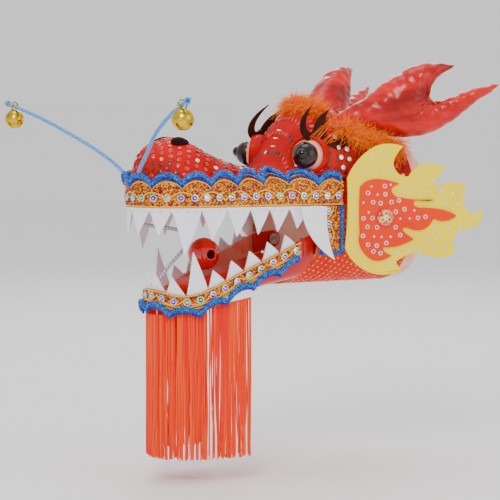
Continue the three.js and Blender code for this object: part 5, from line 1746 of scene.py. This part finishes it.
# ---------------------------------------------------------------- the foam ears
@dataclass
class Flames:
    """Flame-shaped foam ears with rhinestones, a smaller flame, ring sequins and a flower."""

    wardrobe: Wardrobe
    origin: tuple[float, float, float] = (-97.0, -71.0, 1.0)
    flare: float = math.radians(13)
    thickness: float = 3.0
    button: tuple[float, float] = (39.5, -4.4)
    random: np.random.Generator = field(default_factory=lambda: np.random.default_rng(8))
    outer: tuple = ((1, 35), [
        (10, 55, 28, 65), (42, 72, 60, 66), (46, 52, 51, 44), (56, 35, 66, 36), (78, 58, 108, 44),
        (93, 38, 96, 18), (100, 36, 129, 27), (120, 14, 130, 0), (137, -5, 146, 3), (148, -12, 136, -17),
        (108, -18, 117, -41), (103, -50, 88, -44), (70, -36, 53, -49), (55, -56, 60, -58),
        (38, -66, 20, -57), (4, -48, -1, -34), (3, 0, 1, 35)])
    inner: tuple = ((13.5, 26), [
        (24, 40, 55, 29), (40, 24, 52, 16), (72, 12, 92, 12), (70, 12, 71, 12), (68, 6, 78, 4.5),
        (104, 5, 117, -4), (104, -13, 92, -6), (84, -24, 64, -15), (50, -14, 71, -26.5),
        (54, -36, 38, -34), (37, -39, 47, -42.5), (30, -54, 18.5, -40), (10, -30, 13.5, -20),
        (12, 0, 13.5, 26)])

    def build(self) -> None:
        """Makes both ears."""
        outer, inner = curved(*self.outer), curved(*self.inner)
        for side in Side:
            self._ear(side, outer, inner)

    def _ear(self, side: Side, outer: Array, inner: Array) -> None:
        """One ear: the yellow flame, the orange one and the flower button."""
        w, label = self.wardrobe, side.label
        back = -self.thickness - 0.4
        face = back - 2.0
        pile = MeshPile().add(self._place(plate(outer, -self.thickness, 0.0, 0.6), side))
        spots = self._scatter(outer, 13.5, 3.0)
        apart = self._inside(inner, spots, 4.0)
        pile.add(self._place(self._stamped(STONE, spots[~apart], -self.thickness, 1.6), side), 1)
        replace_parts(pile.build(f"ear_{label}", [w.yellow, w.clear], "head", "yellow_foam"),
                    f"flame_outer_{label}")
        pile = MeshPile().add(self._place(plate(inner, face, back, 0.5), side))
        spots = self._scatter(inner, 9.6, 3.2)
        spots = spots[np.hypot(*(spots - self.button).T) > 12]
        rings = np.arange(len(spots)) % 3 != 2
        finishes = [w.orange, w.ring_sequin, w.clear, w.rose]
        for template, kept, y, size, finish in ((RING, rings, face, 2.3, 1), (STONE, ~rings, face, 1.2, 2),
                                                (STONE, rings, face - 0.1, 0.9, 3)):
            pile.add(self._place(self._stamped(template, spots[kept], y, size), side), finish)
        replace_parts(pile.build(f"ear_heart_{label}", finishes, "head", "orange_foam"),
                    f"flame_inner_{label}")
        self._flower(side, face - 0.3)

    def _flower(self, side: Side, y: float) -> None:
        """A scalloped pink disc, three yellow petals and a pearl."""
        w = self.wardrobe
        face = y - 2.2
        turn = whole_turn(96)
        round_turn = np.stack([np.cos(turn), np.sin(turn)], axis=-1)
        scallop = 9.0 * (0.94 + 0.06 * np.abs(np.cos(5 * turn)))
        disc = self.button + scallop[:, None] * round_turn
        pile = MeshPile().add(self._place(plate(disc, face, y, 0.7), side))
        for k in range(3):
            angle = np.pi / 2 + 2 * np.pi * k / 3
            x, z = self.button + 4.2 * np.array([math.cos(angle), math.sin(angle)])
            petal = ball((x, face, z), 3.4, (0, -1, 0), 20, 0, 90)
            petal.points[:, 1] = face + (petal.points[:, 1] - face) * 0.55
            pile.add(self._place(petal, side), 1)
        pearl = ball((self.button[0], y - 3.2, self.button[1]), 3.1, (0, -1, 0), 24)
        pile.add(self._place(pearl, side), 2)
        beads = self.button + 7.4 * round_turn[::8]
        pile.add(self._place(self._stamped(SEED, beads, face, 0.8), side), 3)
        piece = pile.build(f"flower_{side.label}", [w.rose, w.petal, w.bead, w.clear], "head", "button")
        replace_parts(piece, f"flower_button_{side.label}")

    def _place(self, patch: Patch, side: Side) -> Patch:
        """Turns a patch drawn on the ear's own plane outwards and puts it on its side."""
        cosine, sine = math.cos(-self.flare), math.sin(-self.flare)
        x, y, z = patch.points.T
        points = np.stack([x * cosine - y * sine + self.origin[0],
                           -side.value * (x * sine + y * cosine + self.origin[1]),
                           z + self.origin[2]], axis=-1)
        return Patch(points, patch.faces, patch.uv)

    @staticmethod
    def _stamped(template: Patch, spots: Array, y: float, size: float) -> Patch:
        """Copies of a small shape at (x, z) spots, facing -Y."""
        places = np.insert(spots, 1, y, axis=1)
        return stamp(template, places, np.tile([0.0, -1.0, 0.0], (len(spots), 1)), size)

    def _scatter(self, outline: Array, step: float, margin: float) -> Array:
        """Spots of a shaken hexagonal grid that lie well inside an outline."""
        low, high = outline.min(axis=0), outline.max(axis=0)
        x, z = mesh_grid(np.arange(low[0], high[0], step), np.arange(low[1], high[1], step * 0.87))
        x = x + (np.arange(x.shape[1]) % 2)[None] * step / 2
        spots = np.stack([x.ravel(), z.ravel()], axis=-1)
        spots = spots + self.random.normal(scale=0.09 * step, size=spots.shape)
        return spots[self._inside(outline, spots, -margin)]

    @staticmethod
    def _inside(outline: Array, spots: Array, grow: float) -> Array:
        """Which spots lie within an outline grown by a distance, negative to shrink it."""
        following = np.roll(outline, -1, axis=0)
        x, z = spots[:, :1], spots[:, 1:]
        crossing = (outline[None, :, 1] > z) != (following[None, :, 1] > z)
        rise = np.where(following[:, 1] == outline[:, 1], 1e-9, following[:, 1] - outline[:, 1])
        cut = outline[None, :, 0] + (z - outline[None, :, 1]) / rise * (following[:, 0] - outline[:, 0])
        within = np.sum(crossing & (x < cut), axis=1) % 2 == 1
        edge = following - outline
        away = spots[:, None] - outline[None]
        t = np.clip((away * edge).sum(-1) / np.maximum((edge ** 2).sum(-1), 1e-9), 0, 1)
        gap = np.linalg.norm(away - t[..., None] * edge, axis=-1).min(axis=1)
        return np.where(within, gap, -gap) > -grow


# ---------------------------------------------------------------- the jaw
@dataclass
class Jaw:
    """The jaw's tray, band, braid, tongue and ball."""

    wardrobe: Wardrobe
    hinge: tuple[float, float] = (-112.0, -30.0)
    wall_lifts: tuple[float, float] = (-3.2, -4.3)
    lining_lifts: tuple[float, float] = (-4.32, -5.2)
    pearl: tuple[float, float, float] = (-218.0, 0.0, -39.0)

    def build(self) -> None:
        """Makes the tray with its arms, the trim, the tongue and the ball."""
        self._tray()
        self._trim()
        self._tongue()
        self._ball()

    def _tray(self) -> None:
        """The red wall, its coral lining and both hinge arms."""
        w = self.wardrobe
        share, angle = mesh_grid(spread(90, 0, 1), even_angles(120, JAW.power))
        pile = MeshPile()
        for finish, lifts in enumerate((self.wall_lifts, self.lining_lifts)):
            pile.add(thick_sheet(*(JAW.tray(share, angle, lift) for lift in lifts), folded=True), finish)
        x, z = self.hinge
        turn = spread(28, np.pi / 2, -np.pi / 2)
        arm = np.vstack([[(-134, -24)], np.stack([x + 9 * np.cos(turn), z + 9 * np.sin(turn)], axis=-1),
                         [(-134, -44)]])
        block = np.array([(-133.5, -42), (-126.5, -42), (-126.5, -26), (-133.5, -26)])
        for side in Side:
            pile.add(plate(arm, side.value * 47.5, side.value * 44.5, 0.4))
            pile.add(plate(block, side.value * 52.0, side.value * 45.0, 0.4))
        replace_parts(pile.build("jaw_tray", [w.jaw_wall, w.lining], "jaw", "jaw_plastic"), "jaw_shell")

    def _trim(self) -> None:
        """The gold band below the rim and the braid on its lower edge."""
        trim = Trim(self.wardrobe, 33)
        reach = JAW.quarter - 139.0 - JAW.nose_centre
        pile = MeshPile()
        span, width = (-reach, reach), (0.0, 16.0)
        trim.band(JAW.side, span, width, (0.0, 1.6), pile)
        trim.cords(JAW.side, span, (1.0, 15.0), 1.7, pile)
        trim.stones(JAW.side, span, width, 1.6, pile)
        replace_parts(pile.build("jaw_band", trim.finishes(), "jaw", "gold_lace"), "lower_band")

        def hung(distance: Array, height: Array, lift: Array | float) -> Array:
            """The jaw's side with heights counted upwards."""
            return JAW.side(distance, -height, lift)

        trim.braid(hung, (3 - reach, reach - 3), -17.0, 3.4, 4.2, "jaw_braid", "jaw", "lower_braid")

    def _tongue(self) -> None:
        """A round-fronted foam bar that slopes down to the front."""
        front, rear, low, high, half, thick = -256.0, -140.0, -69.5, -42.0, 23.0, 9.0
        length = math.hypot(rear - front, high - low)
        turn = spread(40, np.pi / 2, 3 * np.pi / 2)
        nose = np.stack([half + half * np.cos(turn), half * np.sin(turn)], axis=-1)
        outline = np.vstack([[(length, half)], nose, [(length, -half)]])
        slab = plate(outline, 0.0, thick, 2.5)
        x, depth, y = slab.points.T
        crown = 0.6 * (1 - (y / half) ** 2) - 1.6 * np.exp(-(y / 2.2) ** 2)
        up = -depth + np.where(depth < thick / 2, crown, 0)
        cosine, sine = (rear - front) / length, (high - low) / length
        slab.points = np.stack([front + x * cosine - up * sine, y, low + x * sine + up * cosine], axis=-1)
        piece = MeshPile().add(slab).build("tongue_pad", [self.wardrobe.tongue], "jaw", "tongue_foam")
        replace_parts(piece, "tongue")

    def _ball(self) -> None:
        """The hollow ball with its two round ports and rolled port edges."""
        radius, wall, port = 16.0, 1.6, 5.0
        start = math.degrees(math.asin(port / radius))
        shape = ball(self.pearl, radius, (0, 1, 0), 72, start, 180 - start, wall)
        edge = revolved([(port - 0.2, -0.9), (port + 0.9, -0.9), (port + 0.9, 0.3), (port - 0.2, 0.3)], 32)
        pile = MeshPile().add(shape)
        for side in Side:
            outward = np.array([0.0, side.value, 0.0])
            pile.add(stand(edge, self.pearl + 14.9 * outward, outward))
        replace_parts(pile.build("mouth_pearl", [self.wardrobe.pearl], "jaw", "pearl_plastic"), "pearl_ball")


@dataclass
class Fringe:
    """Shiny yarn strands under the jaw, in five bunches."""

    wardrobe: Wardrobe
    bottom: float = -238.0
    bend: tuple[float, float] = (-98.0, -140.0)
    strand_step: float = 0.36
    random: np.random.Generator = field(default_factory=lambda: np.random.default_rng(17))

    def build(self) -> None:
        """Makes the five bunches."""
        spans = {"side_left": (-112, -68), "corner_left": (-67, -34), "front": (-33, 33),
                 "corner_right": (34, 67), "side_right": (68, 112)}
        for name, span in spans.items():
            self._bunch(name, span)

    def _bunch(self, name: str, span: tuple[float, float]) -> None:
        """Strands that gather into clumps as they hang.

        A strand's distance goes from its root to root + pull s^1.4, where pull leads towards the
        middle of its clump, and it sways by a sine and a cosine along its length s.
        """
        count = int((span[1] - span[0]) / self.strand_step)
        root = np.sort(self.random.uniform(span[0] + 0.4, span[1] - 0.4, count))
        clump = np.round((root + self.random.normal(scale=0.8, size=count)) / 5.5) * 5.5
        s = spread(26, 0, 1)[None]
        sway = self.random.normal(scale=1.0, size=(count, 1))
        phase = self.random.uniform(0, 2 * np.pi, (count, 1)) * 0.5 + clump[:, None]
        rate = self.random.uniform(2.0, 5.5, (count, 1))
        pull = 0.72 * (clump - root)[:, None]
        distance = root[:, None] + pull * s ** 1.4 + sway * np.sin(rate * s + phase) * s * 1.6
        distance = np.clip(distance, span[0], span[1])
        lift = -1.9 + self.random.uniform(-0.8, 0.8, (count, 1)) + 1.1 * np.cos(0.8 * rate * s + phase) * s
        bare, _ = JAW.rim(root[:, None] + 0 * s, 0.0)
        top = JAW.floor(bare) - 1.2
        low = self.bottom + np.abs(self.random.normal(scale=3.0, size=(count, 1)))
        x, y = JAW.rim(distance, lift)
        strands = np.stack([x, y, top + (low - top) * s], axis=-1)
        thick = self.random.uniform(0.5, 0.8, (count, 1)) * np.linspace(1.0, 0.75, 26)[None]
        pile = MeshPile().add(rods(strands, thick, 5, reference=(0.9, 0.4, 0.1)))
        head = np.linspace(span[0] + 0.5, span[1] - 0.5, 30)
        head_x, head_y = JAW.rim(head, -1.9)
        edge_x, _ = JAW.rim(head, 0.0)
        pile.add(rods(np.stack([head_x, head_y, JAW.floor(edge_x) - 1.9], axis=-1), 0.9, 8))
        piece = pile.build(f"yarn_{name}", [self.wardrobe.yarn], None, "fringe_yarn")
        middle = JAW.rim(np.array(np.mean(span)), 0.0)
        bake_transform(piece)
        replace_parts(piece, f"fringe_{name}")


# ---------------------------------------------------------------- whiskers, bells and cord
@dataclass
class Whiskers:
    """Springy twisted whiskers with a brass bell hung from each."""

    wardrobe: Wardrobe
    line: tuple = ((-298, -15, 42), (-302, -32, 52), (-308, -55, 63), (-319, -90, 78), (-331, -140, 95),
                   (-340, -186, 107), (-342, -198, 110))
    ring: tuple[float, float, float] = (-340.0, -186.0, 107.0)
    hang: float = 13.1
    bell_radius: float = 9.8
    seam_radius: float = 10.3
    bell_hollow: float = 8.9
    slot_reach: float = 8.2
    pellet_radius: float = 2.4

    def build(self) -> None:
        """Makes both whiskers, both bells and their pellets."""
        for side in Side:
            self._whisker(side)
            self._bell(side)

    def _whisker(self, side: Side) -> None:
        """Three twisted plies, a frayed end and a knot."""
        path = smooth_path(self.line, 260)
        path[:, 1] *= -side.value
        pile = MeshPile().add(rods(plies(path, 1.0, 3, 9.0, 1.0), 1.02, 7, reference=(0.31, 0.1, 0.94)))
        end = path[-1]
        turn = spread(60, 0, 4 * np.pi)[:, None]
        axis = unit(path[-1] - path[-4])
        loop = circle(end, 2.1, axis, turn) + axis * (turn / (2 * np.pi) - 1) * 1.9
        pile.add(rods(loop, 1.1, 8, reference=tuple(axis)))
        random = np.random.default_rng(6)
        heading = axis + random.normal(scale=0.4, size=(40, 3))
        pile.add(rods(tufts(np.tile(end, (40, 1)), heading, random.uniform(2, 5, 40), random, 4), 0.14, 3,
                      reference=(0.2, 0.3, 0.93)))
        piece = pile.build(f"whisker_cord_{side.label}", [self.wardrobe.whisker],
                           f"whisker_stem_{side.label}", "blue_braid")
        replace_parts(piece, f"whisker_{side.label}")

    def _bell(self, side: Side) -> None:
        """A jingle bell with a raised seam, crossed slots with round ends, a loop and a pellet."""
        at = np.array(self.ring) * [1, -side.value, 1]
        centre = at - [0, 0, self.hang]
        angles = np.radians(np.concatenate([spread(22, 0, 86), [88.5, 90, 91.5], spread(22, 94, 180)]))
        outer = np.where(np.abs(np.degrees(angles) - 90) < 2, self.seam_radius, self.bell_radius)
        profile = [(r * math.sin(a), r * math.cos(a)) for r, a in zip(outer, angles)]
        inner = self.bell_hollow
        profile += [(inner * math.sin(a), inner * math.cos(a)) for a in angles[::-1]]
        shell = stand(revolved(profile, 64), centre, (0.0, 0.0, 1.0))
        body, name = f"bell_body_{side.label}", f"jingle_bell_{side.label}"
        piece = MeshPile().add(shell).build(name, [self.wardrobe.brass], body, "brass")
        cutters = MeshPile()
        length = self.slot_reach
        box = np.array([(-length, -0.6), (length, -0.6), (length, 0.6), (-length, 0.6)])
        for k in range(2):
            slot = plate(box, -11.5, -3.0, 0.01)
            angle = k * np.pi / 2 + 0.5
            x, y, z = slot.points.T
            slot.points = centre + np.stack([x * math.cos(angle) - z * math.sin(angle),
                                             x * math.sin(angle) + z * math.cos(angle), y], axis=-1)
            cutters.add(slot)
            for end in (-length, length):
                drill = turned([(1.5, -11.5), (1.5, -3.0)], 20)
                drill.points = drill.points + centre + [end * math.cos(angle), end * math.sin(angle), 0]
                cutters.add(drill)
        cutter = cutters.build(f"slots_{side.label}", [self.wardrobe.brass], body, "brass")
        cut = piece.modifiers.new("slots", "BOOLEAN")
        cut.operation, cut.object, cut.solver = "DIFFERENCE", cutter, "EXACT"
        cut.use_self = True
        bake(piece)
        piece.data.set_sharp_from_angle(angle=SHARP_ANGLE)
        bpy.data.objects.remove(cutter, do_unlink=True)
        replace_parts(piece, f"bell_{side.label}")
        turn = spread(49, 0, 2 * np.pi)[:, None]
        heading = unit(np.array([-9.0, 46.0 * side.value, 0.0]))
        across = np.cross(heading, [0.0, 0.0, 1.0])
        loop = at + 4.2 * (np.cos(turn) * across + np.sin(turn) * np.array([0.0, 0.0, 1.0]))
        ring = MeshPile().add(rods(loop, 0.9, 10, reference=tuple(heading)))
        ring.build(f"bell_loop_{side.label}", [self.wardrobe.brass], body, "brass")
        drop = self.hang + self.bell_hollow - self.pellet_radius - 1.2
        pellet = ball(at - [0, 0, drop], self.pellet_radius, (0, 0, 1), 24)
        piece = MeshPile().add(pellet).build(f"pellet_steel_{side.label}", [self.wardrobe.steel],
                                             f"pellet_{side.label}", "steel")
        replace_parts(piece, f"bell_pellet_{side.label}")


@dataclass
class JawCord:
    """The silver cord that hangs from the upper lip to the front of the jaw."""

    wardrobe: Wardrobe
    route: tuple = ((-287, 0, -8), (-270, 0, -11), (-247, 0, -15), (-234, 0, -21), (-239, 0, -31),
                    (-259, 0, -52), (-268, 0, -64))
    radius: float = 2.0

    def build(self) -> None:
        """Makes the cord of four plies."""
        path = smooth_path(self.route, 160)
        lines = plies(path, 0.95, 4, 10.0, 1.0)
        pile = MeshPile().add(rods(lines, 1.0, 7, reference=(0.1, 0.98, 0.1)))
        piece = pile.build("mouth_cord", [self.wardrobe.silver], None, "silver_cord")
        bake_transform(piece)
        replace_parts(piece, "jaw_cord")


# ---------------------------------------------------------------- frame and studio
@dataclass
class RearFrame:
    """The bamboo spars with their thread lashings, the hoop, the hub and the hinge pins."""

    wardrobe: Wardrobe

    def build(self) -> None:
        """Dresses the frame's own nodes and adds the lashings."""
        w = self.wardrobe
        for node, finish in (("collar_hoop", w.bamboo), ("spar_upright", w.bamboo), ("spar_cross", w.bamboo),
                             ("hub", w.steel), ("hinge_pin_left", w.steel), ("hinge_pin_right", w.steel)):
            self._dress(node, finish)
        winding = 16 * np.pi
        turn = spread(240, 0, winding)[:, None]
        across = turn / winding * 12 - 6
        middle = np.array([-12.6, 0.0, 0.0])
        coil = middle + np.concatenate([6.6 * np.cos(turn), across, 3.9 * np.sin(turn)], axis=1)
        other = middle + np.concatenate([6.6 * np.cos(turn), 3.9 * np.sin(turn), across], axis=1)
        pile = MeshPile().add(rods(coil, 0.4, 6, reference=(0.02, 0.999, 0.02)))
        pile.add(rods(other, 0.4, 6, reference=(0.02, 0.02, 0.999)))
        pile.build("spar_lashing", [w.thread], "head", "bamboo")

    @staticmethod
    def _dress(node: str, finish: bpy.types.Material) -> None:
        """Gives a frame node its finish."""
        piece = bpy.data.objects[node]
        piece.data.materials.clear()
        piece.data.materials.append(finish)


@dataclass
class Studio:
    """Camera, soft lights and a pale floor."""

    target: tuple[float, float, float] = (-0.1588, 0.0109, -0.0382)
    distance: float = 1.925
    azimuth: float = -30.0
    elevation: float = 4.0
    lens: float = 137.0
    floor_height: float = -0.262

    def camera(self) -> None:
        """The camera looks at the target from its azimuth and elevation."""
        azimuth, elevation = math.radians(self.azimuth), math.radians(self.elevation)
        back = np.array([math.sin(azimuth) * math.cos(elevation), -math.cos(azimuth) * math.cos(elevation),
                         math.sin(elevation)])
        data = bpy.data.cameras.new("studio_camera")
        data.lens, data.clip_end = self.lens, 100.0
        camera = bpy.data.objects.new("studio_camera", data)
        bpy.context.scene.collection.objects.link(camera)
        place_facing(camera, np.array(self.target) + self.distance * back, np.array(self.target))
        bpy.context.scene.camera = camera

    def lights(self) -> None:
        """A pale world, a big key light, a fill, a top light and a rim light."""
        world = bpy.data.worlds.new("studio_world")
        bpy.context.scene.world = world
        world.use_nodes = True
        background = world.node_tree.nodes["Background"]
        background.inputs[0].default_value = (1.0, 1.0, 1.0, 1.0)
        background.inputs[1].default_value = 0.9
        lamps = {"key": ((-1.5, -1.5, 1.5), 28.0, 0.7), "fill": ((0.9, -1.8, 0.6), 9.0, 1.4),
                 "top": ((-0.1, 0.2, 2.0), 12.0, 1.2), "rim": ((0.8, 1.6, 1.2), 10.0, 0.8)}
        for name, (place, power, size) in lamps.items():
            data = bpy.data.lights.new(name, "AREA")
            data.energy, data.size = power, size
            lamp = bpy.data.objects.new(name, data)
            bpy.context.scene.collection.objects.link(lamp)
            place_facing(lamp, np.array(place), np.array(self.target))

    def floor(self) -> None:
        """A floor that curves up far behind the object."""
        run = np.array([-6.0, -3.0, 0.0, 3.0, 4.0, 4.6, 4.9, 5.0, 5.0])
        rise = np.array([0.0, 0.0, 0.0, 0.0, 0.1, 0.4, 0.9, 1.6, 6.0])
        across = np.array([-7.0, 0.0, 7.0])
        turn = math.radians(self.azimuth)
        y, x = mesh_grid(run, across)
        z = np.broadcast_to(rise[:, None], y.shape) + self.floor_height
        cosine, sine = math.cos(turn), math.sin(turn)
        points = np.stack([x * cosine - y * sine, x * sine + y * cosine, z], axis=-1).reshape(-1, 3)
        mesh = bpy.data.meshes.new("studio_floor")
        mesh.from_pydata(points.tolist(), [], grid_faces(*y.shape).tolist())
        mesh.materials.append(Floor().build())
        sweep = bpy.data.objects.new("studio_floor", mesh)
        bpy.context.scene.collection.objects.link(sweep)


def place_facing(item: bpy.types.Object, place: Array, target: Array) -> None:
    """Puts a camera or light at a place so that it looks at a target."""
    item.location = place
    heading = Vector(target - place)
    item.rotation_mode = "QUATERNION"
    item.rotation_quaternion = heading.to_track_quat("-Z", "Y")


def main() -> None:
    """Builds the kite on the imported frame."""
    logging.basicConfig(level=logging.INFO, format="%(name)s: %(message)s")
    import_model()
    studio = Studio()
    studio.camera()
    wardrobe = Wardrobe()
    JawCord(wardrobe).build()
    for part in (HeadCovers, HeadTrim, Teeth, Eyes, Nostrils, Horns, Brows, Fur, Flames, Jaw, Fringe,
                 Whiskers, RearFrame):
        part(wardrobe).build()
    studio.lights()
    studio.floor()


if __name__ == "__main__":
    main()
